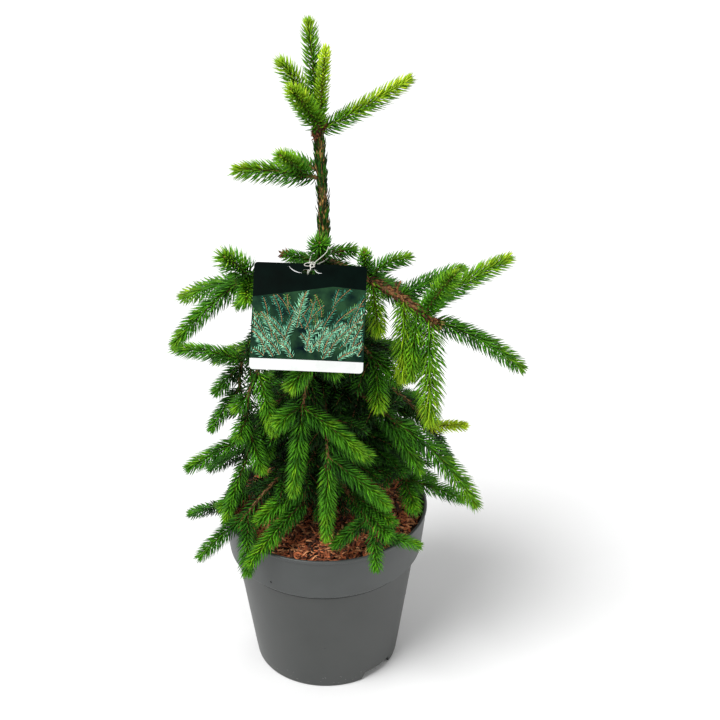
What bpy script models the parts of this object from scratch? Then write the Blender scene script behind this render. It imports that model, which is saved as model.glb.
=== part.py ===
"""Weeping Norway spruce, about 0.78 m tall, in a round nursery pot.

The row frame: origin at the centre of the pot's flat underside, +Z up, -Y towards the side that is
shown in front. Everything is in metres and degrees. An azimuth is a compass direction seen from above:
0 is +X, 90 is +Y. A rise is an angle above level.
"""

import math
import random
from collections import namedtuple
from functools import partial

import bmesh
import bpy
import numpy as np
from mathutils import Vector

SEED = 7
GAP = 0.0003  # what touches keeps this gap

# Pot: a tapered shell with a wider collar. It stands on a foot ring and a round foot in the middle, with its
# base raised between them, and three drainage notches are cut in the ring.
POT_SIDES = 40
POT_HEIGHT = 0.209
POT_RIM_RADIUS = 0.120
POT_FOOT_RADIUS = 0.086
POT_WALL = 0.002
POT_BASE = 0.0115  # height of the base's underside
POT_FLOOR = 0.0135
FOOT_RING_RADIUS = 0.062  # inside the ring
MIDDLE_FOOT_RADIUS = 0.030
FOOT_ROUND = 0.0015
COLLAR_FOOT = 0.149  # height where the collar's slanted underside starts
COLLAR_EDGE = 0.156  # height where it ends
COLLAR_RADIUS = 0.1140  # there
WALL_TOP_RADIUS = 0.1065
LIP_HEIGHT = 0.004
LIP_STEP = 0.0012
# Height and outer radius all the way up.
POT_OUTLINE = ((0.0, POT_FOOT_RADIUS), (COLLAR_FOOT, WALL_TOP_RADIUS), (COLLAR_FOOT + 0.0005, 0.1080),
               (COLLAR_EDGE, COLLAR_RADIUS), (POT_HEIGHT, POT_RIM_RADIUS))
NOTCH_AZIMUTHS = (-44, 65, 176)
NOTCH_WIDTH = 32  # degrees
NOTCH_TOP_SHARE = 0.84  # width at its top against that at its foot
NOTCH_HEIGHT = 0.011
NOTCH_DEPTH = 0.018
DRAIN_COUNT = 8
DRAIN_RADIUS = 0.005
DRAIN_RING = 0.050
DRAIN_SIDES = 10
CUT_PAST = 0.02  # how far a cutter stands out of what it cuts

# Mulch: the root ball's top dressing, which fills the pot.
MULCH_EDGE = 0.1965  # height where it meets the wall
MULCH_CROWN = 0.2025  # height round the trunk
MULCH_BUMP = 0.0016
MULCH_SEAT_RADIUS = 0.020

# Trunk
TRUNK_FOOT = MULCH_CROWN + GAP
TRUNK_TIP = 0.664
TRUNK_SIDES = 10
TRUNK_RADII = ((0.0, 0.0145), (0.035, 0.0100), (0.12, 0.0088), (0.55, 0.0066), (0.9, 0.0050), (1.0, 0.0046))
TRUNK_SWAY = 0.0022
TRUNK_SWAY_TURNS = 1.6

# Limbs and shoots
LIMB_SIDES = 6
LIMB_RADIUS = 0.0034  # at the trunk
LIMB_TIP_RADIUS = 0.0019
LIMB_FLARE = 1.35
LIMB_STEP = 0.014
TWIG_SIDES = 3
SHOOT_SAG = 14  # degrees that a shoot bends down from its root to its tip
SHOOT_ROOT = 0.0022
SHOOT_TIP = 0.0014
SHOOT_STEP = 0.015  # length of one whorl of needles
NEEDLE_REACH = 0.013  # how far needles stand off their shoot's axis
NEEDLE_LEAN = 0.75  # forward share of a needle's reach
NEEDLE_JITTER = 0.12
RING_TWIST = 17  # degrees that each whorl turns on from the last
NEEDLE_CLEAR = 0.0016  # what a needle keeps from another mass, limb, pot or label

# Label: a hanging card, and its tie round the trunk.
LABEL_WIDTH = 0.116
LABEL_HEIGHT = 0.1110
LABEL_THICKNESS = 0.0009
LABEL_CORNER = 0.004
LABEL_BOW = 0.002
LABEL_TOP = Vector((-0.0096, -0.060, 0.5431))  # middle of its top edge
LABEL_ROLL = -2.8
LABEL_LEAN = 36.0  # degrees that its foot hangs out from under its top
SLOT_DROP = 0.0085
SLOT_WIDTH = 0.016
SLOT_HEIGHT = 0.005
TIE_RADIUS = 0.0006
TIE_HEIGHT = 0.5375  # where it rounds the trunk
# Its two strands between the trunk and the card, measured from the trunk's middle at that height.
TIE_LEFT = ((-0.0105, -0.014, -0.0015), (-0.0135, -0.030, -0.004))
TIE_RIGHT = ((0.0030, -0.030, -0.0035), (0.0078, -0.0185, -0.0015), (0.0088, -0.0090, 0))

Shoot = namedtuple(
    "Shoot", "station azimuth rise length reach sag", defaults=(NEEDLE_REACH, SHOOT_SAG))
Limb = namedtuple(
    "Limb", "name height azimuth rise bough stem sag shoots thick", defaults=(1.0,))

# One row a limb: its height on the trunk, azimuth and rise there, the lengths of its bare bough and of
# the leafy stem that goes on from it, and how far it sags. Its shoots stand at stations along the stem.
SHOWN_LIMBS = (
    Limb("right_high", 0.520, -25, -10, 0.042, 0.091, 20, (
        Shoot(0.05, -97, 60, 0.049, 0.010), Shoot(0.07, 25, 18, 0.056, 0.011, 60),
        Shoot(0.11, -76, -54, 0.060), Shoot(0.76, -104, -66, 0.078, 0.012), Shoot(0.50, 35, 7, 0.088),
        Shoot(0.56, -90, -68, 0.087, 0.0145), Shoot(0.80, 10, 30, 0.110),
        Shoot(0.86, -55, 53, 0.082, 0.013), Shoot(0.92, -87, -72, 0.116, 0.0175),
        Shoot(0.99, -3, -30, 0.113, NEEDLE_REACH, 27)), 1.4),
    Limb("left_high", 0.511, -160, 13, 0.044, 0.043, 29, (
        Shoot(0.99, -154, -36, 0.098, 0.012, 22), Shoot(0.85, 148, -26, 0.100),
        Shoot(0.72, -122, 44, 0.062, 0.0165), Shoot(0.74, -90, 0, 0.049, 0.014))),
    Limb("left_mid", 0.470, -170, -4, 0.050, 0.096, 90, (
        Shoot(0.60, 176, 8, 0.080, 0.011), Shoot(0.68, -152, -40, 0.045, 0.011),
        Shoot(0.99, -143, -45, 0.059, 0.010))),
    Limb("left_low", 0.374, -165, -13, 0.050, 0.080, 70, (
        Shoot(0.62, -160, -19, 0.084, 0.012), Shoot(0.85, 150, -38, 0.074, 0.011),
        Shoot(0.99, -114, -43, 0.080, 0.010), Shoot(0.30, -80, -50, 0.048, 0.011))),
    Limb("left_base", 0.264, -173, -8, 0.060, 0.067, 34, (
        Shoot(0.99, 157, -28, 0.054, 0.009), Shoot(0.60, 100, -30, 0.040),
        Shoot(0.42, -150, -25, 0.042))),
    Limb("front_left_mid", 0.452, -149, -5, 0.048, 0.112, 95, (
        Shoot(0.36, -62, -57, 0.072, 0.012), Shoot(0.62, -160, -44, 0.024),
        Shoot(0.87, -106, -20, 0.032), Shoot(0.99, -64, -46, 0.054, 0.012))),
    Limb("front_left_low", 0.308, -112, -20, 0.030, 0.056, 55, (
        Shoot(0.99, -129, -20, 0.102, 0.012), Shoot(0.62, -144, -20, 0.072))),
    Limb("front_left_base", 0.289, -140, -9, 0.060, 0.060, 32, (
        Shoot(0.99, -155, -35, 0.073, 0.0105), Shoot(0.92, -89, -38, 0.073, 0.012))),
    Limb("front_top", 0.494, -95, 2, 0.046, 0.060, 52, (
        Shoot(0.99, -146, -44, 0.040), Shoot(0.80, -42, -24, 0.040), Shoot(0.55, -148, 2, 0.048),
        Shoot(0.40, -38, 4, 0.042))),
    Limb("front_high", 0.428, -103, -14, 0.046, 0.044, 36, (
        Shoot(0.99, -112, -72, 0.097, 0.012), Shoot(0.87, -144, -20, 0.040),
        Shoot(0.92, -31, -26, 0.087, 0.012))),
    Limb("front_mid", 0.384, -85, -14, 0.050, 0.060, 44, (
        Shoot(0.99, -95, -72, 0.087, 0.011), Shoot(0.86, -32, -26, 0.088, 0.012),
        Shoot(0.54, -35, -2, 0.058))),
    Limb("front_low", 0.262, -64, -5, 0.044, 0.083, 4, (
        Shoot(0.13, -52, 3, 0.080, 0.012), Shoot(0.30, -58, -3, 0.074),
        Shoot(0.99, 0, -18, 0.052, 0.009), Shoot(0.90, -86, -55, 0.046, 0.010),
        Shoot(0.69, -152, -26, 0.050, 0.010))),
    Limb("right_front", 0.453, -40, -3, 0.042, 0.038, 42, (
        Shoot(0.98, -84, -55, 0.052, 0.013), Shoot(0.60, -20, -38, 0.050))),
    Limb("right_mid", 0.377, -33, -2, 0.050, 0.044, 30, (
        Shoot(0.99, -13, -46, 0.137, 0.0145, 32), Shoot(0.50, -32, -51, 0.085, 0.0125))),
    Limb("right_back", 0.396, 5, -14, 0.062, 0.092, 50, (
        Shoot(0.97, -24, 17, 0.051, 0.008), Shoot(0.86, 30, -62, 0.088, 0.009),
        Shoot(0.50, 75, -30, 0.060))),
    Limb("right_low", 0.316, -16, -15, 0.052, 0.056, 40, (
        Shoot(0.97, -4, -20, 0.076, 0.011), Shoot(0.64, 25, -32, 0.064, 0.011),
        Shoot(0.99, -76, -18, 0.046))),
)
LEADER_STEP = 0.006  # the leader's stem goes three of these on from the trunk's tip
TOP_SHOOTS = (
    Shoot(0.98, 180, 85, 0.100, 0.011), Shoot(0.55, -70, 73, 0.092, 0.008),
    Shoot(0.35, -151, 61, 0.086), Shoot(0.25, -117, 46, 0.081, 0.013),
    Shoot(0.10, 6, 29, 0.109, 0.0115, -4),
)
# Short shoots that stand on the trunk itself.
TRUNK_LIMBS = (
    Limb("upper_left", 0.615, -160, 20, 0, 0.016, 6, (
        Shoot(0.97, -162, 12, 0.074, 0.013), Shoot(0.80, -122, 39, 0.059, 0.013))),
    Limb("upper_back", 0.622, 143, 10, 0, 0.010, 0, (Shoot(0.95, 143, 4, 0.030),)),
    Limb("collar_front", 0.521, -94, 44, 0, 0.012, 0, (Shoot(0.95, -92, 46, 0.046, 0.015),)),
    Limb("collar_right", 0.528, 18, 0, 0, 0.010, 0, (Shoot(0.95, 20, -3, 0.022, 0.011),)),
    Limb("collar_left", 0.517, 160, 8, 0, 0.010, 0, (Shoot(0.95, 165, 7, 0.030, 0.009),)),
)
# The far side carries limbs of the same make: name, height, azimuth, bough, stem.
FAR_LIMBS = (
    ("far_high_right", 0.488, 50, 0.046, 0.048),
    ("far_high_left", 0.488, 124, 0.046, 0.050),
    ("far_mid", 0.440, 84, 0.048, 0.046),
    ("far_mid_right", 0.407, 48, 0.050, 0.046),
    ("far_mid_left", 0.405, 128, 0.050, 0.044),
    ("far_low", 0.354, 96, 0.052, 0.050),
    ("far_low_right", 0.335, 46, 0.050, 0.046),
    ("far_base", 0.290, 88, 0.052, 0.054),
)
FAR_RISE = 2
FAR_SAG = 36
FAR_SHOOTS = 4
FAR_SPREAD = 58  # degrees between the limb's azimuth and its side shoots
FAR_LENGTH = (0.056, 0.086)

COLOURS = {  # colour, roughness
    "pot": ((0.115, 0.122, 0.122), 0.52),
    "mulch": ((0.150, 0.042, 0.018), 0.95),
    "bark": ((0.110, 0.058, 0.030), 0.9),
    "needles": ((0.052, 0.190, 0.022), 0.55),
    "card": ((0.030, 0.110, 0.055), 0.35),
    "tie": ((0.750, 0.740, 0.700), 0.6),
}


# ---------------------------------------------------------------- directions and paths

def heading(azimuth, rise):
    """Unit vector of a compass azimuth and a rise above level."""
    turn, lift = math.radians(azimuth), math.radians(rise)
    return Vector((math.cos(turn) * math.cos(lift), math.sin(turn) * math.cos(lift), math.sin(lift)))


def sagging_path(start, azimuth, rise, sag, length, step):
    """Points of a limb that sets out at a rise and bends down by sag on its way to the tip."""
    steps = max(2, round(length / step))
    points = [start.copy()]
    for k in range(steps):
        points.append(points[-1] + heading(azimuth, rise - sag * (k + 0.5) / steps) * (length / steps))
    return points


def along(path, share):
    """The point at a share of an evenly spaced path's length."""
    place = share * (len(path) - 1)
    k = min(int(place), len(path) - 2)
    return path[k].lerp(path[k + 1], place - k)


def interpolate(table, x):
    """Value at x in a table of (x, value) pairs."""
    xs, values = zip(*table)
    return float(np.interp(x, xs, values))


def trunk_share(height):
    return (height - TRUNK_FOOT) / (TRUNK_TIP - TRUNK_FOOT)


def trunk_axis(height):
    """Middle of the trunk, which sways a little round the pot's axis."""
    share = trunk_share(height)
    grown = math.sin(math.pi * min(1, share * 3) / 2)
    sway = TRUNK_SWAY * grown * math.sin(math.tau * TRUNK_SWAY_TURNS * share)
    return Vector((sway, 0.6 * sway, height))


def trunk_radius(height):
    return interpolate(TRUNK_RADII, trunk_share(height))


# ---------------------------------------------------------------- growth rule

def far_limb(name, height, azimuth, bough, stem, rng):
    """A limb of the far side: its shoots alternate left and right along the stem, and one ends it."""
    shoots = [Shoot(0.99, azimuth + rng.uniform(-12, 12), -34 + rng.uniform(-8, 8), max(FAR_LENGTH))]
    for k in range(1, FAR_SHOOTS):
        side = 1 if k % 2 else -1
        shoots.append(Shoot(
            1.0 - 0.26 * k,
            azimuth + side * (FAR_SPREAD + rng.uniform(-12, 12)),
            -24 + rng.uniform(-12, 14),
            rng.uniform(*FAR_LENGTH)))
    return Limb(name, height, azimuth, FAR_RISE, bough, stem, FAR_SAG, tuple(shoots))


def all_limbs():
    rng = random.Random(SEED)
    far = [far_limb(*row, rng) for row in FAR_LIMBS]
    return [*SHOWN_LIMBS, *far, *TRUNK_LIMBS]


def limb_path(limb):
    """A limb's whole path, from the trunk's bark to its tip, and the share of it that is bare bough."""
    out = heading(limb.azimuth, 0)
    flare = LIMB_RADIUS * LIMB_FLARE * limb.thick
    levels = [limb.height + reach for reach in (-flare, 0, flare)]
    bark = max(trunk_axis(level).dot(out) + trunk_radius(level) for level in levels)
    axis = trunk_axis(limb.height)
    start = axis + out * (bark - axis.dot(out) + GAP)
    length = limb.bough + limb.stem
    return sagging_path(start, limb.azimuth, limb.rise, limb.sag, length, LIMB_STEP / 2), limb.bough / length


def cut_path(path, low, high, step):
    """The stretch of a path between two shares of its length, in even steps."""
    length = sum((b - a).length for a, b in zip(path, path[1:])) * (high - low)
    count = max(2, round(length / step))
    return [along(path, low + (high - low) * k / count) for k in range(count + 1)]


def shoot_paths(stem, shoots):
    """Axis and reach of each shoot. It bends down on its way, so it sets out half its sag higher."""
    made = []
    for shoot in shoots:
        sag = shoot.sag if abs(shoot.rise) < 70 else 0.0
        root = along(stem, shoot.station)
        made.append((sagging_path(root, shoot.azimuth, shoot.rise + sag / 2, sag, shoot.length, SHOOT_STEP),
                     shoot.reach))
    return made


# ---------------------------------------------------------------- meshes

def new_object(name, mesh_data, colour):
    mesh = bpy.data.meshes.new(name)
    if isinstance(mesh_data, bmesh.types.BMesh):
        mesh_data.to_mesh(mesh)
        mesh_data.free()
    else:
        mesh.from_pydata(*mesh_data)
    obj = bpy.data.objects.new(name, mesh)
    bpy.context.scene.collection.objects.link(obj)
    mesh.materials.append(material(colour))
    return obj


def material(name):
    found = bpy.data.materials.get(name)
    if found:
        return found
    made = bpy.data.materials.new(name)
    made.use_nodes = True
    colour, roughness = COLOURS[name]
    shader = made.node_tree.nodes["Principled BSDF"]
    shader.inputs["Base Color"].default_value = (*colour, 1)
    shader.inputs["Roughness"].default_value = roughness
    shader.inputs["Metallic"].default_value = 0.0
    made.diffuse_color = (*colour, 1)
    return made


def frames(path, first=None, last=None):
    """Two cross axes and the tangent at each point of a path, carried on without twist.

    First and last, where given, are the directions that the path's two ends face.
    """
    tangents = []
    for k in range(len(path)):
        tangents.append((path[min(k + 1, len(path) - 1)] - path[max(k - 1, 0)]).normalized())
    tangents[0] = first or tangents[0]
    tangents[-1] = last or tangents[-1]
    side = tangents[0].cross(Vector((0, 0, 1)))
    if side.length < 0.1:
        side = tangents[0].cross(Vector((0, 1, 0)))
    side.normalize()
    made = []
    for tangent in tangents:
        side = (side - tangent * side.dot(tangent)).normalized()
        made.append((side, tangent.cross(side).normalized(), tangent))
    return made


def tube(path, radii, sides, first=None, last=None):
    """Vertices and faces of a closed tube along a path."""
    vertices, faces = [], []
    for point, radius, (u, v, _) in zip(path, radii, frames(path, first, last)):
        for j in range(sides):
            turn = math.tau * j / sides
            vertices.append(point + (u * math.cos(turn) + v * math.sin(turn)) * radius)
    for k in range(len(path) - 1):
        for j in range(sides):
            a, b = k * sides + j, k * sides + (j + 1) % sides
            faces.append((a, b, b + sides, a + sides))
    faces.append(tuple(range(sides))[::-1])
    faces.append(tuple(range((len(path) - 1) * sides, len(path) * sides)))
    return vertices, [], faces


def needled_shoot(path, reach, rng, is_free):
    """A slim three-cornered core whose every side face is drawn out to a needle.

    Each ring is turned half a corner from the last, so the core's sides are triangles. Each becomes the
    foot of one needle that leans towards the tip. A needle that isn't free is left flat.
    """
    count = len(path)
    vertices, faces, turn = [], [], 0.0
    axes = frames(path)
    for k, (point, (u, v, _)) in enumerate(zip(path, axes)):
        radius = SHOOT_ROOT + (SHOOT_TIP - SHOOT_ROOT) * k / (count - 1)
        turn += math.radians(60 + RING_TWIST)
        for j in range(TWIG_SIDES):
            angle = turn + math.tau * j / TWIG_SIDES
            vertices.append(point + (u * math.cos(angle) + v * math.sin(angle)) * radius)
    for k in range(count - 1):
        share = (k + 0.5) / (count - 1)
        length = reach * (1 - 0.45 * max(0.0, share - 0.72) / 0.28) * (0.82 if k == 0 else 1)
        middle, tangent = (path[k] + path[k + 1]) / 2, axes[k][2]
        for j in range(TWIG_SIDES):
            a, b = k * TWIG_SIDES + j, k * TWIG_SIDES + (j + 1) % TWIG_SIDES
            c, d = a + TWIG_SIDES, b + TWIG_SIDES
            for corners in ((a, b, c), (b, d, c)):
                foot = sum((vertices[i] for i in corners), Vector()) / 3
                outward = foot - middle
                outward = (outward - tangent * outward.dot(tangent)).normalized()
                stretch = length * (1 + rng.uniform(-NEEDLE_JITTER, NEEDLE_JITTER))
                tip = foot + outward * stretch + tangent * (stretch * NEEDLE_LEAN)
                if not is_free(foot, tip):
                    tip = foot + (tip - foot) * 0.6
                    if not is_free(foot, tip):
                        faces.append(corners)
                        continue
                vertices.append(tip)
                n = len(vertices) - 1
                faces.extend((corners[i], corners[(i + 1) % 3], n) for i in range(3))
    vertices.append(path[-1] + axes[-1][2] * reach * 0.55)
    last, tip = (count - 1) * TWIG_SIDES, len(vertices) - 1
    faces.extend((last + j, last + (j + 1) % TWIG_SIDES, tip) for j in range(TWIG_SIDES))
    faces.append((2, 1, 0))
    return vertices, [], faces


def revolve(profile, sides):
    """Closed mesh of an outline of (radius, height) pairs turned round Z. A radius of 0 is on the axis."""
    mesh = bmesh.new()
    rings = []
    for radius, height in profile:
        if radius == 0:
            rings.append([mesh.verts.new((0, 0, height))] * sides)
        else:
            turns = [math.tau * j / sides for j in range(sides)]
            rings.append([
                mesh.verts.new((radius * math.cos(turn), radius * math.sin(turn), height)) for turn in turns])
    for low, high in zip(rings, rings[1:]):
        for j in range(sides):
            corners = [low[j], low[(j + 1) % sides], high[(j + 1) % sides], high[j]]
            mesh.faces.new(list(dict.fromkeys(corners)))
    bmesh.ops.recalc_face_normals(mesh, faces=mesh.faces)
    return mesh


def modify_boolean(obj, operation, operand, solver):
    """A Boolean with an object or a collection, made real at once."""
    modifier = obj.modifiers.new(operation.title(), "BOOLEAN")
    modifier.operation = operation
    modifier.solver = solver
    if isinstance(operand, bpy.types.Collection):
        modifier.operand_type = "COLLECTION"
        modifier.collection = operand
    else:
        modifier.object = operand
    graph = bpy.context.evaluated_depsgraph_get()
    made = bpy.data.meshes.new_from_object(obj.evaluated_get(graph))
    obj.modifiers.clear()
    obj.data = made


def keep_largest_shell(obj):
    """Fills sealed hollows and drops loose scraps: only the shell of the largest volume stays."""
    mesh = bmesh.new()
    mesh.from_mesh(obj.data)
    bmesh.ops.triangulate(mesh, faces=mesh.faces)
    bmesh.ops.dissolve_degenerate(mesh, dist=2e-6, edges=mesh.edges)
    left, shells = set(mesh.faces), []
    while left:
        shell, edge = set(), [left.pop()]
        while edge:
            face = edge.pop()
            shell.add(face)
            near = {other for e in face.edges for other in e.link_faces if other in left}
            left -= near
            edge.extend(near)
        volume = sum(f.verts[0].co.dot(f.verts[1].co.cross(f.verts[2].co)) for f in shell)
        shells.append((volume, shell))
    shells.sort(key=lambda pair: pair[0])
    loose = [face for _, shell in shells[:-1] for face in shell]
    bmesh.ops.delete(mesh, geom=loose, context="FACES")
    mesh.to_mesh(obj.data)
    mesh.free()


# ---------------------------------------------------------------- what needles keep clear of

class Spaces:
    """Which points of space belong to which shoot: the one whose axis is nearest."""

    def __init__(self):
        self.points, self.masses, self.shoots, self.radii = [], [], [], []

    def add(self, mass, shoot, path, radius=0.0, step=0.003):
        for a, b in zip(path, path[1:]):
            count = max(1, round((b - a).length / step))
            for k in range(count + 1):
                self.points.append(a.lerp(b, k / count))
                self.masses.append(mass)
                self.shoots.append(shoot)
                self.radii.append(radius)

    def close(self):
        self.points = np.array(self.points)
        self.masses = np.array(self.masses)
        self.shoots = np.array(self.shoots)
        self.radii = np.array(self.radii)

    def is_free(self, mass, shoot, point):
        """True where the point is nearer to its own shoot than to any other, and off every limb."""
        distance = np.linalg.norm(self.points - np.array(point), axis=1) - self.radii
        in_mass = self.masses == mass
        own = distance[in_mass & (self.shoots == shoot)].min()
        sibling = distance[in_mass & (self.shoots != shoot)].min()
        leafy = self.radii == 0
        other_mass = distance[~in_mass & leafy].min()
        limb = distance[~in_mass & ~leafy].min()
        return own < sibling and own + NEEDLE_CLEAR < other_mass and limb > NEEDLE_CLEAR


def pot_radius_at(height):
    """Outer radius of the pot's wall or collar."""
    return interpolate(POT_OUTLINE, height)


def in_pot(point):
    """True in or against the pot and its mulch."""
    if point.z > POT_HEIGHT + NEEDLE_CLEAR:
        return False
    radius = math.hypot(point.x, point.y)
    mulch_top = MULCH_CROWN + MULCH_BUMP + NEEDLE_CLEAR
    inner = pot_radius_at(point.z) - POT_WALL - LIP_STEP - NEEDLE_CLEAR
    return radius < POT_RIM_RADIUS + NEEDLE_CLEAR and (radius > inner or point.z < mulch_top)


def label_axes():
    """The label's middle of its top edge, and its directions across, down and out to the front."""
    roll, lean = math.radians(LABEL_ROLL), math.radians(LABEL_LEAN)
    across = Vector((math.cos(roll), 0, math.sin(roll)))
    down = Vector((math.sin(roll) * math.cos(lean), -math.sin(lean), -math.cos(roll) * math.cos(lean)))
    return across, down, down.cross(across).normalized()


def in_label(point):
    across, down, front = label_axes()
    place = point - LABEL_TOP
    deep = NEEDLE_CLEAR + LABEL_BOW + LABEL_THICKNESS
    return (abs(place.dot(across)) < LABEL_WIDTH / 2 + NEEDLE_CLEAR
            and -NEEDLE_CLEAR < place.dot(down) < LABEL_HEIGHT + NEEDLE_CLEAR and abs(place.dot(front)) < deep)


# ---------------------------------------------------------------- sub-parts

def pot_profile():
    """Outer outline from the base's middle up to the rim, then the inner one down to the floor."""
    lip_foot = POT_HEIGHT - LIP_HEIGHT
    outer = [(0, 0), (MIDDLE_FOOT_RADIUS, 0), (MIDDLE_FOOT_RADIUS + FOOT_ROUND, POT_BASE),
             (FOOT_RING_RADIUS, POT_BASE), (FOOT_RING_RADIUS + FOOT_ROUND, 0),
             (POT_FOOT_RADIUS - FOOT_ROUND, 0), (POT_FOOT_RADIUS, FOOT_ROUND)]
    outer += [(radius, height) for height, radius in POT_OUTLINE[1:-1]]
    outer += [(pot_radius_at(lip_foot) - LIP_STEP, lip_foot), (POT_RIM_RADIUS, lip_foot + LIP_STEP / 2),
              (POT_RIM_RADIUS, POT_HEIGHT)]
    inner = [(POT_RIM_RADIUS - POT_WALL - LIP_STEP, POT_HEIGHT),
             (COLLAR_RADIUS - POT_WALL, COLLAR_EDGE + GAP),
             (WALL_TOP_RADIUS - POT_WALL, COLLAR_FOOT - POT_WALL / 2),
             (pot_radius_at(POT_FLOOR) - POT_WALL, POT_FLOOR), (0, POT_FLOOR)]
    return outer, inner


def notch_cutter(azimuth):
    """A block across the foot ring, with a flat top narrower than its foot."""
    mesh = bmesh.new()
    out, side = heading(azimuth, 0), heading(azimuth + 90, 0)
    half = POT_FOOT_RADIUS * math.radians(NOTCH_WIDTH) / 2
    corners = []
    # As far below the ground as the notch is high, the block is as much wider as its top is narrower.
    levels = ((-NOTCH_HEIGHT, half * (2 - NOTCH_TOP_SHARE)), (NOTCH_HEIGHT, half * NOTCH_TOP_SHARE))
    for height, width in levels:
        plan = ((-NOTCH_DEPTH, -width), (CUT_PAST, -width), (CUT_PAST, width), (-NOTCH_DEPTH, width))
        for reach, offset in plan:
            place = out * (POT_FOOT_RADIUS + reach) + side * offset
            corners.append(mesh.verts.new((place.x, place.y, height)))
    for k in range(4):
        mesh.faces.new([corners[k], corners[(k + 1) % 4], corners[4 + (k + 1) % 4], corners[4 + k]])
    mesh.faces.new(corners[3::-1])
    mesh.faces.new(corners[4:])
    bmesh.ops.recalc_face_normals(mesh, faces=mesh.faces)
    return mesh


def drain_cutter(azimuth):
    mesh = bmesh.new()
    bmesh.ops.create_cone(
        mesh, cap_ends=True, segments=DRAIN_SIDES, radius1=DRAIN_RADIUS, radius2=DRAIN_RADIUS,
        depth=2 * CUT_PAST)
    bmesh.ops.translate(mesh, verts=mesh.verts, vec=heading(azimuth, 0) * DRAIN_RING)
    return mesh


def make_pot():
    outer, inner = pot_profile()
    pot = new_object("pot", revolve(outer + inner, POT_SIDES), "pot")
    cutters = [notch_cutter(azimuth) for azimuth in NOTCH_AZIMUTHS]
    cutters += [drain_cutter(360 * (k + 0.5) / DRAIN_COUNT) for k in range(DRAIN_COUNT)]
    for mesh in cutters:
        cutter = new_object("cutter", mesh, "pot")
        modify_boolean(pot, "DIFFERENCE", cutter, "EXACT")
        bpy.data.objects.remove(cutter)
    shade(pot)


def make_mulch():
    """The pot's filling. Its top is heaped towards the trunk and uneven, with a level seat for the trunk."""
    inner = pot_profile()[1]
    rng = random.Random(SEED)
    side = [(radius - GAP * 1.5, height) for radius, height in reversed(inner[2:-1])]
    side[0] = (side[0][0], POT_FLOOR + GAP)
    edge = pot_radius_at(MULCH_EDGE) - POT_WALL - LIP_STEP - GAP * 1.5
    profile = [(0, POT_FLOOR + GAP), *side, (inner[1][0] - GAP * 1.5, inner[1][1]), (edge, MULCH_EDGE)]
    rings = 4
    for k in range(1, rings + 1):
        share = k / rings
        radius = edge + (MULCH_SEAT_RADIUS - edge) * share
        profile.append((radius, MULCH_EDGE + (MULCH_CROWN - MULCH_EDGE) * math.sin(share * math.pi / 2)))
    profile.append((0, MULCH_CROWN))
    mesh = revolve(profile, POT_SIDES)
    for vertex in mesh.verts:
        radius = math.hypot(vertex.co.x, vertex.co.y)
        if vertex.co.z > MULCH_EDGE - 0.001 and MULCH_SEAT_RADIUS + 0.003 < radius < edge - 0.003:
            vertex.co.z += rng.uniform(-MULCH_BUMP, MULCH_BUMP)
    bmesh.ops.triangulate(mesh, faces=mesh.faces)
    new_object("mulch", mesh, "mulch")


def make_trunk():
    heights = [TRUNK_FOOT, TRUNK_FOOT + 0.006, TRUNK_FOOT + 0.016, TRUNK_FOOT + 0.04]
    heights += [TRUNK_FOOT + (TRUNK_TIP - TRUNK_FOOT) * k / 10 for k in range(2, 11)]
    path = [trunk_axis(height) for height in heights]
    vertices, edges, faces = tube(path, [trunk_radius(height) for height in heights], TRUNK_SIDES)
    for vertex in vertices[:TRUNK_SIDES]:
        vertex.z = TRUNK_FOOT  # the cut at the mulch is flat and level
    shade(new_object("trunk", (vertices, edges, faces), "bark"))


def make_bough(limb):
    path, bare = limb_path(limb)
    path = cut_path(path, 0, bare, LIMB_STEP)
    radii = [limb_radius(limb, bare * k / (len(path) - 1)) for k in range(len(path))]
    radii[0] *= LIMB_FLARE
    mesh_data = tube(path, radii, LIMB_SIDES, heading(limb.azimuth, 0), joint_direction(limb))
    shade(new_object("bough_" + limb.name, mesh_data, "bark"))


def joint_direction(limb):
    """The way that the limb runs where its bare bough ends and its leafy stem begins."""
    return heading(limb.azimuth, limb.rise - limb.sag * limb.bough / (limb.bough + limb.stem))


def limb_radius(limb, share):
    base = LIMB_RADIUS if limb.bough else LIMB_TIP_RADIUS * 1.25
    return limb.thick * (base + (LIMB_TIP_RADIUS - base) * share)


def make_mass(name, stem, radii, shoots, spaces, first=None):
    """One mass of foliage: a stem with its needled shoots fused on."""
    rng = random.Random(name)
    body = new_object(name, tube(stem, radii, LIMB_SIDES, first), "needles")
    helpers = bpy.data.collections.new("helpers")
    bpy.context.scene.collection.children.link(helpers)

    def is_free(number, foot, tip):
        tests = [foot.lerp(tip, share) for share in (0.3, 0.65, 1)]
        return all(spaces.is_free(name, number, p) and not in_pot(p) and not in_label(p) for p in tests)

    for number, (path, reach) in enumerate(shoots):
        needled = needled_shoot(path, reach, rng, partial(is_free, number))
        shoot = new_object("shoot", needled, "needles")
        bpy.context.scene.collection.objects.unlink(shoot)
        helpers.objects.link(shoot)
    modify_boolean(body, "UNION", helpers, "MANIFOLD")
    for shoot in list(helpers.objects):
        bpy.data.objects.remove(shoot)
    bpy.data.collections.remove(helpers)
    keep_largest_shell(body)


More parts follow.
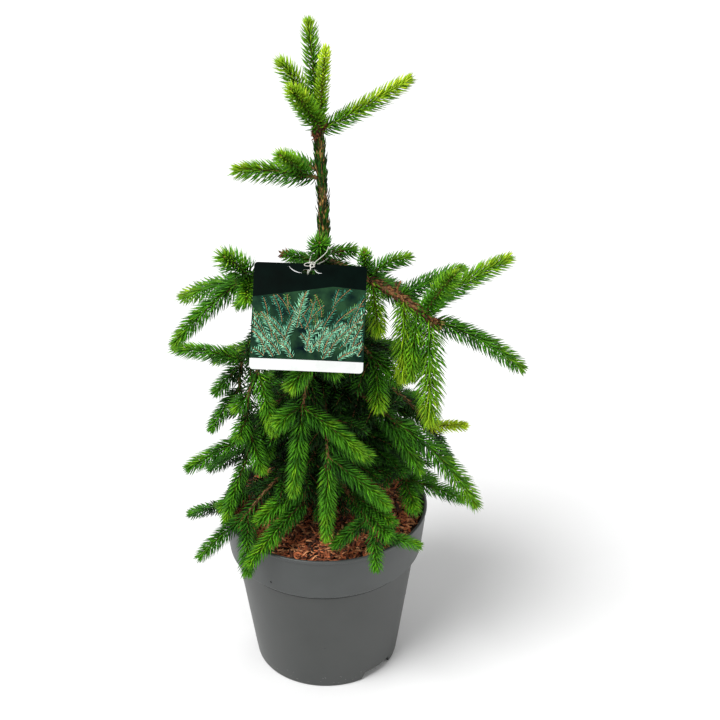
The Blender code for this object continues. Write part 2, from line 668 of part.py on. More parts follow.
def make_label():
    """A thin card with rounded corners, bowed a little, with a slot for its tie."""
    across, down, front = label_axes()
    columns, half = 12, LABEL_WIDTH / 2
    mesh = bmesh.new()
    corner = [(LABEL_CORNER * (1 - math.cos(t)), LABEL_CORNER * (1 - math.sin(t)))
              for t in (0, math.pi / 6, math.pi / 3, math.pi / 2)]
    xs = [(-half + dx, dy) for dx, dy in corner]
    xs += [(-half + LABEL_WIDTH * k / columns, 0) for k in range(1, columns)]
    xs += [(half - dx, dy) for dx, dy in reversed(corner)]
    layers = []
    for lift in (-LABEL_THICKNESS / 2, LABEL_THICKNESS / 2):
        rows = []
        for x, inset in xs:
            bow = LABEL_BOW * (1 - (x / half) ** 2) + lift
            base = LABEL_TOP + across * x + front * bow
            rows.append([mesh.verts.new(base + down * drop) for drop in (inset, LABEL_HEIGHT - inset)])
        layers.append(rows)
    back, face = layers
    for k in range(len(xs) - 1):
        mesh.faces.new([face[k][0], face[k][1], face[k + 1][1], face[k + 1][0]])
        mesh.faces.new([back[k][0], back[k + 1][0], back[k + 1][1], back[k][1]])
        for end in (0, 1):
            mesh.faces.new([face[k][end], face[k + 1][end], back[k + 1][end], back[k][end]])
    for k in (0, -1):
        mesh.faces.new([face[k][0], back[k][0], back[k][1], face[k][1]])
    bmesh.ops.recalc_face_normals(mesh, faces=mesh.faces)
    card = new_object("label_card", mesh, "card")
    cutter = new_object("cutter", slot_cutter(), "card")
    modify_boolean(card, "DIFFERENCE", cutter, "EXACT")
    bpy.data.objects.remove(cutter)


def slot_cutter():
    across, down, front = label_axes()
    middle = LABEL_TOP + down * SLOT_DROP + front * LABEL_BOW
    mesh = bmesh.new()
    rings = []
    for lift in (-0.004, 0.004):
        ring = []
        for k in range(12):
            turn = math.tau * (k + 0.5) / 12
            straight = math.copysign((SLOT_WIDTH - SLOT_HEIGHT) / 2, math.cos(turn))
            sideways = straight + math.cos(turn) * SLOT_HEIGHT / 2
            place = across * sideways + down * (math.sin(turn) * SLOT_HEIGHT / 2) + front * lift
            ring.append(mesh.verts.new(middle + place))
        rings.append(ring)
    for k in range(12):
        mesh.faces.new([rings[0][k], rings[0][(k + 1) % 12], rings[1][(k + 1) % 12], rings[1][k]])
    for ring in rings:
        mesh.faces.new(ring)
    bmesh.ops.recalc_face_normals(mesh, faces=mesh.faces)
    return mesh


def tie_path():
    """A slack closed loop: round the back of the trunk, down through the card's slot from behind, up over
    the card's edge and back."""
    across, down, front = label_axes()
    card = LABEL_TOP + front * LABEL_BOW
    centre = trunk_axis(TIE_HEIGHT)
    clear = trunk_radius(TIE_HEIGHT) + TIE_RADIUS + GAP * 2
    slot_edge = SLOT_DROP - SLOT_HEIGHT / 2 + TIE_RADIUS + GAP
    # Across, down and out from the middle of the card's top edge.
    on_card = [
        (-0.003, slot_edge + 0.002, -0.012), (-0.0015, slot_edge + 0.0003, -0.0025),
        (-0.0008, slot_edge, 0), (0, slot_edge - 0.001, 0.0018), (0, 0.003, 0.0021), (0, 0.0004, 0.0019),
        (0.0006, -0.0012, 0.0004), (0.001, -0.0012, -0.0015), (0.002, -0.001, -0.006),
        (0.003, -0.0008, -0.014)]
    behind = [centre + heading(azimuth, 0) * clear for azimuth in range(-20, 201, 20)]
    left = [centre + Vector(place) for place in TIE_LEFT]
    right = [centre + Vector(place) for place in TIE_RIGHT]
    return behind + left + [card + across * a + down * d + front * f for a, d, f in on_card] + right


def make_tie():
    points = tie_path()
    count, sides = len(points), 4
    vertices, faces = [], []
    side = Vector((0, 0, 1))
    for k, point in enumerate(points):
        tangent = (points[(k + 1) % count] - points[k - 1]).normalized()
        side = (side - tangent * side.dot(tangent)).normalized()
        cross = tangent.cross(side)
        for j in range(sides):
            turn = math.tau * j / sides
            vertices.append(point + (side * math.cos(turn) + cross * math.sin(turn)) * TIE_RADIUS)
    shift = min(range(sides), key=lambda j: (vertices[(count - 1) * sides] - vertices[j]).length)
    for k in range(count):
        last = k == count - 1
        for j in range(sides):
            a, b = k * sides + j, k * sides + (j + 1) % sides
            c = (j + shift) % sides if last else a + sides
            d = (j + 1 + shift) % sides if last else b + sides
            faces.append((a, b, d, c))
    mesh = bmesh.new()
    made = [mesh.verts.new(v) for v in vertices]
    for face in faces:
        mesh.faces.new([made[i] for i in face])
    bmesh.ops.recalc_face_normals(mesh, faces=mesh.faces)
    new_object("label_tie", mesh, "tie")


def shade(obj):
    obj.data.shade_smooth()
    obj.data.set_sharp_from_angle(angle=math.radians(35))


# ---------------------------------------------------------------- the whole plant

def grow():
    """Every mass: name, stem, stem radii, shoot paths, its first ring's direction, and its limb or None."""
    masses = []
    top = [trunk_axis(TRUNK_TIP) + Vector((0, 0, GAP + LEADER_STEP * k)) for k in range(4)]
    radius = trunk_radius(TRUNK_TIP)
    masses.append(("foliage_leader", top, [radius, radius, radius * 0.8, radius * 0.6],
                   shoot_paths(top, TOP_SHOOTS), None, None))
    for limb in all_limbs():
        path, bare = limb_path(limb)
        start = bare + GAP / (limb.bough + limb.stem) if limb.bough else 0.0
        stem = cut_path(path, start, 1, LIMB_STEP)
        radii = [limb_radius(limb, start + (1 - start) * k / (len(stem) - 1)) for k in range(len(stem))]
        first = joint_direction(limb) if limb.bough else heading(limb.azimuth, 0)
        shoots = shoot_paths(stem, limb.shoots)
        masses.append(("foliage_" + limb.name, stem, radii, shoots, first, limb))
    return masses


def mark_spaces(masses):
    spaces = Spaces()
    for name, stem, _, shoots, _, limb in masses:
        spaces.add(name, -1, stem)
        for number, (path, _) in enumerate(shoots):
            spaces.add(name, number, path)
        if limb and limb.bough:
            path, bare = limb_path(limb)
            spaces.add("bough", -1, cut_path(path, 0, bare, LIMB_STEP), LIMB_RADIUS * limb.thick)
    for low in range(round(TRUNK_FOOT * 1000), round(TRUNK_TIP * 1000) - 3, 3):
        height = low / 1000
        spaces.add("trunk", -1, [trunk_axis(height), trunk_axis(height + 0.003)], trunk_radius(height))
    tie = tie_path()
    spaces.add("label_tie", -1, tie + tie[:1], TIE_RADIUS)
    spaces.close()
    return spaces


def main():
    for obj in list(bpy.data.objects):
        bpy.data.objects.remove(obj)
    make_pot()
    make_mulch()
    make_trunk()
    make_label()
    make_tie()
    masses = grow()
    spaces = mark_spaces(masses)
    for name, stem, radii, shoots, first, limb in masses:
        if limb and limb.bough:
            make_bough(limb)
        make_mass(name, stem, radii, shoots, spaces, first)


main()
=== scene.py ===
"""Looks of the weeping Norway spruce in its nursery pot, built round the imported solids.

The limbs and shoots repeat the rule that the solids were grown by. Here each shoot is carried on to its
needles, and finer twigs fill the crown between them. Everything is in metres and degrees: an azimuth is a
direction seen from above (0 is +X, 90 is +Y) and a rise is an angle above level.
"""

import math
import random
from collections import namedtuple

import bmesh
import bpy
import numpy as np
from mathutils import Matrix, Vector, noise


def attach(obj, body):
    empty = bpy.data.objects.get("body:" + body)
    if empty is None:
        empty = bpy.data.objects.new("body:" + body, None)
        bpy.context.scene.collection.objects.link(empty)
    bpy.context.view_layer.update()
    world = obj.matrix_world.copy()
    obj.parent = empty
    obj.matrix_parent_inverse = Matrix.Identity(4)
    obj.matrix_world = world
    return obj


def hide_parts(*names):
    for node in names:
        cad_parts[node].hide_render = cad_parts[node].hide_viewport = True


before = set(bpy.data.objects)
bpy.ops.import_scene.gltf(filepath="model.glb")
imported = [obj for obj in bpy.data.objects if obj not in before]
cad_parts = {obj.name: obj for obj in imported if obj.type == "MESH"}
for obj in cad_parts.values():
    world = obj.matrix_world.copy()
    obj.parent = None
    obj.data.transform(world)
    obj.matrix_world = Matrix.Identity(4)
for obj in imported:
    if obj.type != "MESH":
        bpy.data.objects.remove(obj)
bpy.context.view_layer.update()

SEED = 7
GAP = 0.0003
UP = np.array((0.0, 0.0, 1.0))
GOLDEN_ANGLE = math.radians(137.508)

# ---------------- sizes shared with the solids

POT_HEIGHT = 0.209
POT_RIM_RADIUS = 0.120
POT_FOOT_RADIUS = 0.086
POT_WALL = 0.002
POT_BASE = 0.0115
POT_FLOOR = 0.0135
FOOT_RING_RADIUS = 0.062
MIDDLE_FOOT_RADIUS = 0.030
COLLAR_FOOT = 0.149
COLLAR_EDGE = 0.156
COLLAR_RADIUS = 0.1140
WALL_TOP_RADIUS = 0.1065
LIP_HEIGHT = 0.004
LIP_STEP = 0.0012
COLLAR_STEP_RADIUS = 0.1080
POT_OUTLINE = ((0.0, POT_FOOT_RADIUS), (COLLAR_FOOT, WALL_TOP_RADIUS),
               (COLLAR_FOOT + 0.0005, COLLAR_STEP_RADIUS), (COLLAR_EDGE, COLLAR_RADIUS),
               (POT_HEIGHT, POT_RIM_RADIUS))
NOTCH_AZIMUTHS = (-44, 65, 176)
NOTCH_WIDTH = 32
NOTCH_TOP_SHARE = 0.84
NOTCH_HEIGHT = 0.011
NOTCH_DEPTH = 0.018
DRAIN_COUNT = 8
DRAIN_RADIUS = 0.005
DRAIN_RING = 0.050
CUT_PAST = 0.02

MULCH_EDGE = 0.1965
MULCH_CROWN = 0.2025

TRUNK_FOOT = MULCH_CROWN + GAP
TRUNK_TIP = 0.664
TRUNK_RADII = ((0.0, 0.0145), (0.035, 0.0100), (0.12, 0.0088), (0.55, 0.0066), (0.9, 0.0050), (1.0, 0.0046))
TRUNK_SWAY = 0.0022
TRUNK_SWAY_TURNS = 1.6

LIMB_RADIUS = 0.0034
LIMB_TIP_RADIUS = 0.0019
LIMB_FLARE = 1.35
LIMB_STEP = 0.014
SHOOT_SAG = 14
NEEDLE_REACH = 0.013

LABEL_WIDTH = 0.116
LABEL_HEIGHT = 0.1110
LABEL_THICKNESS = 0.0009
LABEL_CORNER = 0.004
LABEL_BOW = 0.002
LABEL_TOP = Vector((-0.0096, -0.060, 0.5431))
LABEL_ROLL = -2.8
LABEL_LEAN = 36.0
SLOT_DROP = 0.0085
SLOT_WIDTH = 0.016
SLOT_HEIGHT = 0.005
TIE_RADIUS = 0.0006
TIE_HEIGHT = 0.5375

Shoot = namedtuple(
    "Shoot", "station azimuth rise length reach sag", defaults=(NEEDLE_REACH, SHOOT_SAG))
Limb = namedtuple(
    "Limb", "name height azimuth rise bough stem sag shoots thick", defaults=(1.0,))

# One row a limb: its height on the trunk, azimuth and rise there, the lengths of its bare bough and of
# the leafy stem that goes on from it, and how far it sags. Its shoots stand at stations along the stem.
SHOWN_LIMBS = (
    Limb("right_high", 0.520, -25, -10, 0.042, 0.091, 20, (
        Shoot(0.05, -97, 60, 0.049, 0.010), Shoot(0.07, 25, 18, 0.056, 0.011, 60),
        Shoot(0.11, -76, -54, 0.060), Shoot(0.76, -104, -66, 0.078, 0.012), Shoot(0.50, 35, 7, 0.088),
        Shoot(0.56, -90, -68, 0.087, 0.0145), Shoot(0.80, 10, 30, 0.110),
        Shoot(0.86, -55, 53, 0.082, 0.013), Shoot(0.92, -87, -72, 0.116, 0.0175),
        Shoot(0.99, -3, -30, 0.113, NEEDLE_REACH, 27)), 1.4),
    Limb("left_high", 0.511, -160, 13, 0.044, 0.043, 29, (
        Shoot(0.99, -154, -36, 0.098, 0.012, 22), Shoot(0.85, 148, -26, 0.100),
        Shoot(0.72, -122, 44, 0.062, 0.0165), Shoot(0.74, -90, 0, 0.049, 0.014))),
    Limb("left_mid", 0.470, -170, -4, 0.050, 0.096, 90, (
        Shoot(0.60, 176, 8, 0.080, 0.011), Shoot(0.68, -152, -40, 0.045, 0.011),
        Shoot(0.99, -143, -45, 0.059, 0.010))),
    Limb("left_low", 0.374, -165, -13, 0.050, 0.080, 70, (
        Shoot(0.62, -160, -19, 0.084, 0.012), Shoot(0.85, 150, -38, 0.074, 0.011),
        Shoot(0.99, -114, -43, 0.080, 0.010), Shoot(0.30, -80, -50, 0.048, 0.011))),
    Limb("left_base", 0.264, -173, -8, 0.060, 0.067, 34, (
        Shoot(0.99, 157, -28, 0.054, 0.009), Shoot(0.60, 100, -30, 0.040),
        Shoot(0.42, -150, -25, 0.042))),
    Limb("front_left_mid", 0.452, -149, -5, 0.048, 0.112, 95, (
        Shoot(0.36, -62, -57, 0.072, 0.012), Shoot(0.62, -160, -44, 0.024),
        Shoot(0.87, -106, -20, 0.032), Shoot(0.99, -64, -46, 0.054, 0.012))),
    Limb("front_left_low", 0.308, -112, -20, 0.030, 0.056, 55, (
        Shoot(0.99, -129, -20, 0.102, 0.012), Shoot(0.62, -144, -20, 0.072))),
    Limb("front_left_base", 0.289, -140, -9, 0.060, 0.060, 32, (
        Shoot(0.99, -155, -35, 0.073, 0.0105), Shoot(0.92, -89, -38, 0.073, 0.012))),
    Limb("front_top", 0.494, -95, 2, 0.046, 0.060, 52, (
        Shoot(0.99, -146, -44, 0.040), Shoot(0.80, -42, -24, 0.040), Shoot(0.55, -148, 2, 0.048),
        Shoot(0.40, -38, 4, 0.042))),
    Limb("front_high", 0.428, -103, -14, 0.046, 0.044, 36, (
        Shoot(0.99, -112, -72, 0.097, 0.012), Shoot(0.87, -144, -20, 0.040),
        Shoot(0.92, -31, -26, 0.087, 0.012))),
    Limb("front_mid", 0.384, -85, -14, 0.050, 0.060, 44, (
        Shoot(0.99, -95, -72, 0.087, 0.011), Shoot(0.86, -32, -26, 0.088, 0.012),
        Shoot(0.54, -35, -2, 0.058))),
    Limb("front_low", 0.262, -64, -5, 0.044, 0.083, 4, (
        Shoot(0.13, -52, 3, 0.080, 0.012), Shoot(0.30, -58, -3, 0.074),
        Shoot(0.99, 0, -18, 0.052, 0.009), Shoot(0.90, -86, -55, 0.046, 0.010),
        Shoot(0.69, -152, -26, 0.050, 0.010))),
    Limb("right_front", 0.453, -40, -3, 0.042, 0.038, 42, (
        Shoot(0.98, -84, -55, 0.052, 0.013), Shoot(0.60, -20, -38, 0.050))),
    Limb("right_mid", 0.377, -33, -2, 0.050, 0.044, 30, (
        Shoot(0.99, -13, -46, 0.137, 0.0145, 32), Shoot(0.50, -32, -51, 0.085, 0.0125))),
    Limb("right_back", 0.396, 5, -14, 0.062, 0.092, 50, (
        Shoot(0.97, -24, 17, 0.051, 0.008), Shoot(0.86, 30, -62, 0.088, 0.009),
        Shoot(0.50, 75, -30, 0.060))),
    Limb("right_low", 0.316, -16, -15, 0.052, 0.056, 40, (
        Shoot(0.97, -4, -20, 0.076, 0.011), Shoot(0.64, 25, -32, 0.064, 0.011),
        Shoot(0.99, -76, -18, 0.046))),
)
LEADER_STEP = 0.006  # the leader's stem goes three of these on from the trunk's tip
TOP_SHOOTS = (
    Shoot(0.98, 180, 85, 0.100, 0.011), Shoot(0.55, -70, 73, 0.092, 0.008),
    Shoot(0.35, -151, 61, 0.086), Shoot(0.25, -117, 46, 0.081, 0.013),
    Shoot(0.10, 6, 29, 0.109, 0.0115, -4),
)
# Short shoots that stand on the trunk itself.
TRUNK_LIMBS = (
    Limb("upper_left", 0.615, -160, 20, 0, 0.016, 6, (
        Shoot(0.97, -162, 12, 0.074, 0.013), Shoot(0.80, -122, 39, 0.059, 0.013))),
    Limb("upper_back", 0.622, 143, 10, 0, 0.010, 0, (Shoot(0.95, 143, 4, 0.030),)),
    Limb("collar_front", 0.521, -94, 44, 0, 0.012, 0, (Shoot(0.95, -92, 46, 0.046, 0.015),)),
    Limb("collar_right", 0.528, 18, 0, 0, 0.010, 0, (Shoot(0.95, 20, -3, 0.022, 0.011),)),
    Limb("collar_left", 0.517, 160, 8, 0, 0.010, 0, (Shoot(0.95, 165, 7, 0.030, 0.009),)),
)
# The far side carries limbs of the same make: name, height, azimuth, bough, stem.
FAR_LIMBS = (
    ("far_high_right", 0.488, 50, 0.046, 0.048),
    ("far_high_left", 0.488, 124, 0.046, 0.050),
    ("far_mid", 0.440, 84, 0.048, 0.046),
    ("far_mid_right", 0.407, 48, 0.050, 0.046),
    ("far_mid_left", 0.405, 128, 0.050, 0.044),
    ("far_low", 0.354, 96, 0.052, 0.050),
    ("far_low_right", 0.335, 46, 0.050, 0.046),
    ("far_base", 0.290, 88, 0.052, 0.054),
)
FAR_RISE = 2
FAR_SAG = 36
FAR_SHOOTS = 4
FAR_SPREAD = 58  # degrees between the limb's azimuth and its side shoots
FAR_LENGTH = (0.056, 0.086)

# ---------------- directions and paths

def heading(azimuth, rise):
    """Unit vector of a compass azimuth and a rise above level."""
    turn, lift = math.radians(azimuth), math.radians(rise)
    return Vector((math.cos(turn) * math.cos(lift), math.sin(turn) * math.cos(lift), math.sin(lift)))


def sagging_path(start, azimuth, rise, sag, length, step):
    """Points of a limb that sets out at a rise and bends down by sag on its way to the tip."""
    steps = max(2, round(length / step))
    points = [start.copy()]
    for k in range(steps):
        points.append(points[-1] + heading(azimuth, rise - sag * (k + 0.5) / steps) * (length / steps))
    return points


def along(path, share):
    """The point at a share of an evenly spaced path's length."""
    place = share * (len(path) - 1)
    k = min(int(place), len(path) - 2)
    return path[k].lerp(path[k + 1], place - k)


def interpolate(table, x):
    """Value at x, or at each of many x, in a table of (x, value) pairs."""
    return np.interp(x, *zip(*table))


def trunk_share(height):
    return (height - TRUNK_FOOT) / (TRUNK_TIP - TRUNK_FOOT)


def trunk_axis(height):
    """Middle of the trunk, which sways a little round the pot's axis."""
    share = trunk_share(height)
    swing = math.sin(math.tau * TRUNK_SWAY_TURNS * share)
    sway = TRUNK_SWAY * math.sin(math.pi * min(1, share * 3) / 2) * swing
    return Vector((sway, 0.6 * sway, height))


def trunk_radius(height):
    return interpolate(TRUNK_RADII, trunk_share(height))


# ---------------- growth rule

def far_limb(name, height, azimuth, bough, stem, rng):
    """A limb of the far side: its shoots alternate left and right along the stem, and one ends it."""
    shoots = [Shoot(0.99, azimuth + rng.uniform(-12, 12), -34 + rng.uniform(-8, 8), max(FAR_LENGTH))]
    for k in range(1, FAR_SHOOTS):
        side = 1 if k % 2 else -1
        shoots.append(Shoot(
            1.0 - 0.26 * k,
            azimuth + side * (FAR_SPREAD + rng.uniform(-12, 12)),
            -24 + rng.uniform(-12, 14),
            rng.uniform(*FAR_LENGTH)))
    return Limb(name, height, azimuth, FAR_RISE, bough, stem, FAR_SAG, tuple(shoots))


def all_limbs():
    rng = random.Random(SEED)
    far = [far_limb(*row, rng) for row in FAR_LIMBS]
    return [*SHOWN_LIMBS, *far, *TRUNK_LIMBS]


def limb_path(limb):
    """A limb's whole path, from the trunk's bark to its tip, and the share of it that is bare bough."""
    out = heading(limb.azimuth, 0)
    flare = LIMB_RADIUS * LIMB_FLARE * limb.thick
    levels = [limb.height + reach for reach in (-flare, 0, flare)]
    bark = max(trunk_axis(level).dot(out) + trunk_radius(level) for level in levels)
    axis = trunk_axis(limb.height)
    start = axis + out * (bark - axis.dot(out) + GAP)
    length = limb.bough + limb.stem
    return sagging_path(start, limb.azimuth, limb.rise, limb.sag, length, LIMB_STEP / 2), limb.bough / length


def path_length(path):
    return sum((b - a).length for a, b in zip(path, path[1:]))


def cut_path(path, low, high, step):
    """The stretch of a path between two shares of its length, in even steps."""
    count = max(2, round(path_length(path) * (high - low) / step))
    return [along(path, low + (high - low) * k / count) for k in range(count + 1)]


def shoot_paths(stem, shoots):
    """Axis and reach of each shoot. It bends down on its way, so it sets out half its sag higher."""
    made = []
    for shoot in shoots:
        sag = shoot.sag if abs(shoot.rise) < 70 else 0.0
        root = along(stem, shoot.station)
        made.append((sagging_path(root, shoot.azimuth, shoot.rise + sag / 2, sag, shoot.length, SHOOT_STEP),
                     shoot.reach))
    return made


def grow():
    """Every mass: stem, shoot paths with their reach, and its limb. The leader has no limb."""
    top = [trunk_axis(TRUNK_TIP) + Vector((0, 0, GAP + LEADER_STEP * k)) for k in range(4)]
    masses = [(top, shoot_paths(top, TOP_SHOOTS), None)]
    for limb in all_limbs():
        path, bare = limb_path(limb)
        start = bare + GAP / (limb.bough + limb.stem) if limb.bough else 0.0
        stem = cut_path(path, start, 1, LIMB_STEP)
        masses.append((stem, shoot_paths(stem, limb.shoots), limb))
    return masses


def limb_radius(limb, share):
    base = LIMB_RADIUS if limb.bough else LIMB_TIP_RADIUS * 1.25
    return limb.thick * (base + (LIMB_TIP_RADIUS - base) * share)


# ---------------- arrays of points

Axis = namedtuple("Axis", "points sides ups tangents length")


def unit(rows):
    return rows / np.maximum(np.linalg.norm(rows, axis=-1, keepdims=True), 1e-12)


def rows_of(points):
    """An array with a row for each point."""
    return np.array([tuple(point) for point in points])


def curve_through(path, step):
    """Points about a step apart on a smooth curve through a path's own points."""
    rows = rows_of(path)
    rows = np.vstack((2 * rows[0] - rows[1], rows, 2 * rows[-1] - rows[-2]))
    made = []
    for a, b, c, d in zip(rows, rows[1:], rows[2:], rows[3:]):
        count = max(1, round(float(np.linalg.norm(c - b)) / step))
        t = (np.arange(count) / count)[:, None]
        made.append(0.5 * (2 * b + (c - a) * t + (2 * a - 5 * b + 4 * c - d) * t**2
                           + (3 * b - a - 3 * c + d) * t**3))
    return np.vstack((*made, rows[-2]))


def axis_of(path, step=0.003):
    """A smooth curve through a path, with cross directions that are carried along it without twist."""
    points = curve_through(path, step)
    tangents = unit(np.gradient(points, axis=0))
    side = np.cross(tangents[0], UP)
    if np.linalg.norm(side) < 0.1:
        side = np.cross(tangents[0], (0.0, 1.0, 0.0))
    sides = []
    for tangent in tangents:
        side = unit(side - tangent * side.dot(tangent))
        sides.append(side)
    sides = np.array(sides)
    length = float(np.linalg.norm(np.diff(points, axis=0), axis=1).sum())
    return Axis(points, sides, np.cross(tangents, sides), tangents, length)


def at(rows, place):
    """Rows read at fractional places."""
    k = np.clip(place.astype(int), 0, len(rows) - 2)
    f = (place - k)[:, None]
    return rows[k] * (1 - f) + rows[k + 1] * f


def crosswise(sides, ups, turn):
    """Directions square to an axis, at turns round it."""
    return sides * np.cos(turn)[:, None] + ups * np.sin(turn)[:, None]


def stand_on(axis, share, turn):
    """At shares of an axis's length: the fractional places, the points, and the directions along and out."""
    place = share * (len(axis.points) - 1)
    points, sides, ups, tangents = (at(rows, place) for rows in axis[:4])
    return place, points, tangents, crosswise(sides, ups, turn)


# ---------------- meshes

class Heap:
    """Vertices and faces gathered for one piece."""

    def __init__(self):
        self.vertices, self.quads, self.triangles, self.count = [], [], [], 0

    def add(self, vertices, quads=(), triangles=()):
        rows = np.asarray(vertices, float).reshape(-1, 3)
        self.vertices.append(rows)
        self.quads.append(np.asarray(quads, int).reshape(-1, 4) + self.count)
        self.triangles.append(np.asarray(triangles, int).reshape(-1, 3) + self.count)
        self.count += len(rows)

    def piece(self, name, look, group):
        """One piece of all that was gathered."""
        vertices, quads, triangles = map(np.concatenate, (self.vertices, self.quads, self.triangles))
        corners = np.concatenate((quads.ravel(), triangles.ravel())).astype(np.int32)
        starts = np.concatenate((np.arange(len(quads)) * 4, quads.size + np.arange(len(triangles)) * 3))
        mesh = bpy.data.meshes.new(name)
        mesh.vertices.add(len(vertices))
        mesh.vertices.foreach_set("co", vertices.ravel().astype(np.float32))
        mesh.loops.add(len(corners))
        mesh.loops.foreach_set("vertex_index", corners)
        mesh.polygons.add(len(starts))
        mesh.polygons.foreach_set("loop_start", starts.astype(np.int32))
        mesh.update(calc_edges=True)
        mesh.shade_smooth()
        place_piece(name, mesh, look, group)


def put(name, data):
    """A new object in the scene."""
    obj = bpy.data.objects.new(name, data)
    bpy.context.scene.collection.objects.link(obj)
    return obj


# What a group of pieces stands for: its slot, and how the names of its nodes start.
GROUPS = {
    "pot": ("pot", "pot"), "mulch": ("mulch", "mulch"), "trunk": ("bark", "trunk"),
    "boughs": ("bark", "bough_"), "foliage": ("needles", "foliage_"),
    "card": ("card", "label_card"), "tie": ("tie", "label_tie"),
}


def place_piece(name, mesh, look, group):
    """A piece with a look, which rides on the plant and stands for its group's nodes."""
    slot, start = GROUPS[group]
    obj = put(name, mesh)
    mesh.materials.clear()
    mesh.materials.append(MATERIALS[look])
    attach(obj, "root")
    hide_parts(*(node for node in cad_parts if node.startswith(start)))


def repeated(pattern, stride, count):
    """The same faces for each of many like shapes."""
    return (np.array(pattern)[None] + stride * np.arange(count)[:, None, None]).reshape(-1, len(pattern[0]))


def rings_round(axis, radii, sides):
    """Rings of points round an axis. Radii hold one value a ring, or one a point."""
    turn = math.tau * np.arange(sides) / sides
    radii = np.asarray(radii, float).reshape(len(axis.points), -1, 1)
    return axis.points[:, None] + crosswise(axis.sides[:, None], axis.ups[:, None], turn) * radii


def add_tube(heap, axis, radii, sides):
    """A closed tube along an axis, with a low point on its far end."""
    rings = rings_round(axis, radii, sides)
    far_end = axis.points[-1] + axis.tangents[-1] * np.mean(radii[-1]) * 0.6
    starts = np.arange(len(rings) - 1) * sides
    foot, last = len(rings) * sides, (len(rings) - 1) * sides
    quads, caps = [], []
    for j in range(sides):
        n = (j + 1) % sides
        quads.append(np.stack((starts + sides + n, starts + sides + j, starts + j, starts + n), axis=1))
        caps += [(foot, n, j), (foot + 1, last + j, last + n)]
    heap.add(np.vstack((rings.reshape(-1, 3), axis.points[:1], far_end[None])), np.concatenate(quads), caps)


NEEDLE_QUADS = [(j, (j + 1) % 3, 3 + (j + 1) % 3, 3 + j) for j in range(3)]
NEEDLE_TRIANGLES = [(3 + j, 3 + (j + 1) % 3, 6) for j in range(3)] + [(2, 1, 0)]


def add_needles(heap, roots, ways, lengths, bends, width):
    """Slim three-sided needles that bend a little on their way to a point."""
    sides = unit(np.cross(ways, UP) + 1e-6)
    overs = np.cross(sides, ways)
    rings = []
    belly = roots + ways * lengths * 0.62 - bends * lengths * 0.02
    for middle, thick in ((roots, width * 0.7), (belly, width)):
        for j in range(3):
            turn = math.tau * (j + 0.25) / 3
            rings.append(middle + (sides * math.cos(turn) + overs * math.sin(turn)) * thick)
    rings.append(roots + ways * lengths + bends * lengths * 0.10)
    count = len(roots)
    faces = (repeated(pattern, 7, count) for pattern in (NEEDLE_QUADS, NEEDLE_TRIANGLES))
    heap.add(np.stack(rings, axis=1), *faces)


SCALE_TRIANGLES = [(0, 2, 4), (0, 4, 3), (0, 3, 5), (0, 5, 2), (1, 4, 2), (1, 3, 4), (1, 5, 3), (1, 2, 5)]


def add_scales(heap, roots, ways, faces, lengths, widths, thickness=0.25, belly=0.42):
    """Small pointed scales: widest at the belly, ridged along the face and closed all round."""
    sides = unit(np.cross(ways, faces))
    overs = np.cross(sides, ways)
    middle = roots + ways * lengths * belly
    rows = (roots, roots + ways * lengths, middle - sides * widths, middle + sides * widths,
            middle + overs * widths * thickness, middle - overs * widths * thickness)
    heap.add(np.stack(rows, axis=1), (), repeated(SCALE_TRIANGLES, 6, len(roots)))


# ---------------- what the needles keep clear of

CLEAR = 0.0012
BARK_DEPTH = 0.002  # roots of shoots and needles may go this far into the trunk
CARD_SPACE = 0.0034  # to the front and back of the card's middle


def pot_radius_at(height):
    """Outer radius of the pot's wall or collar."""
    return interpolate(POT_OUTLINE, height)


def in_pot(points):
    """True in or against the pot and its mulch."""
    radius, height = np.hypot(points[:, 0], points[:, 1]), points[:, 2]
    inner = pot_radius_at(height) - POT_WALL - LIP_STEP - CLEAR
    low = height < POT_HEIGHT + CLEAR
    return low & (radius < POT_RIM_RADIUS + CLEAR) & ((radius > inner) | (height < MULCH_CROWN + CLEAR))


def label_axes():
    """The label's directions across, down and out to the front."""
    roll, lean = math.radians(LABEL_ROLL), math.radians(LABEL_LEAN)
    across = Vector((math.cos(roll), 0, math.sin(roll)))
    down = Vector((math.sin(roll) * math.cos(lean), -math.sin(lean), -math.cos(roll) * math.cos(lean)))
    return across, down, down.cross(across).normalized()


def in_label(points):
    across, down, front = map(np.array, label_axes())
    place = points - np.array(LABEL_TOP)
    x, y, z = place @ across, place @ down, place @ front
    wide = np.abs(x) < LABEL_WIDTH / 2 + CLEAR
    return wide & (y > -CLEAR) & (y < LABEL_HEIGHT + CLEAR) & (np.abs(z - LABEL_BOW / 2) < CARD_SPACE)


def in_trunk(points):
    """True well under the trunk's bark."""
    thick = trunk_radius(np.clip(points[:, 2], TRUNK_FOOT, TRUNK_TIP))
    return (np.hypot(points[:, 0], points[:, 1]) < thick - BARK_DEPTH) & (points[:, 2] < TRUNK_TIP)


def is_clear(points):
    return ~(in_pot(points) | in_label(points) | in_trunk(points))


# ---------------- needles

# Each needle takes one of six colours by its tone, which is higher on fresher wood, varies by spray and is
# raised on a shoot's upper side as painted light. The last colour is partly painted light: a bright lime
# pushed past the needles' own colour, for shoots that sit in shade.
TONES = ("shade", "mid", "fresh", "lime", "tip", "glow_painted_light")
TONE_EDGES = (0.22, 0.44, 0.66, 0.86, 1.04)
SPRAY = 0.009
TUFT = 0.005  # the terminal needles reach this far past the wood
MOST_NEEDLES = 18000
SHOOT_STEP = 0.015
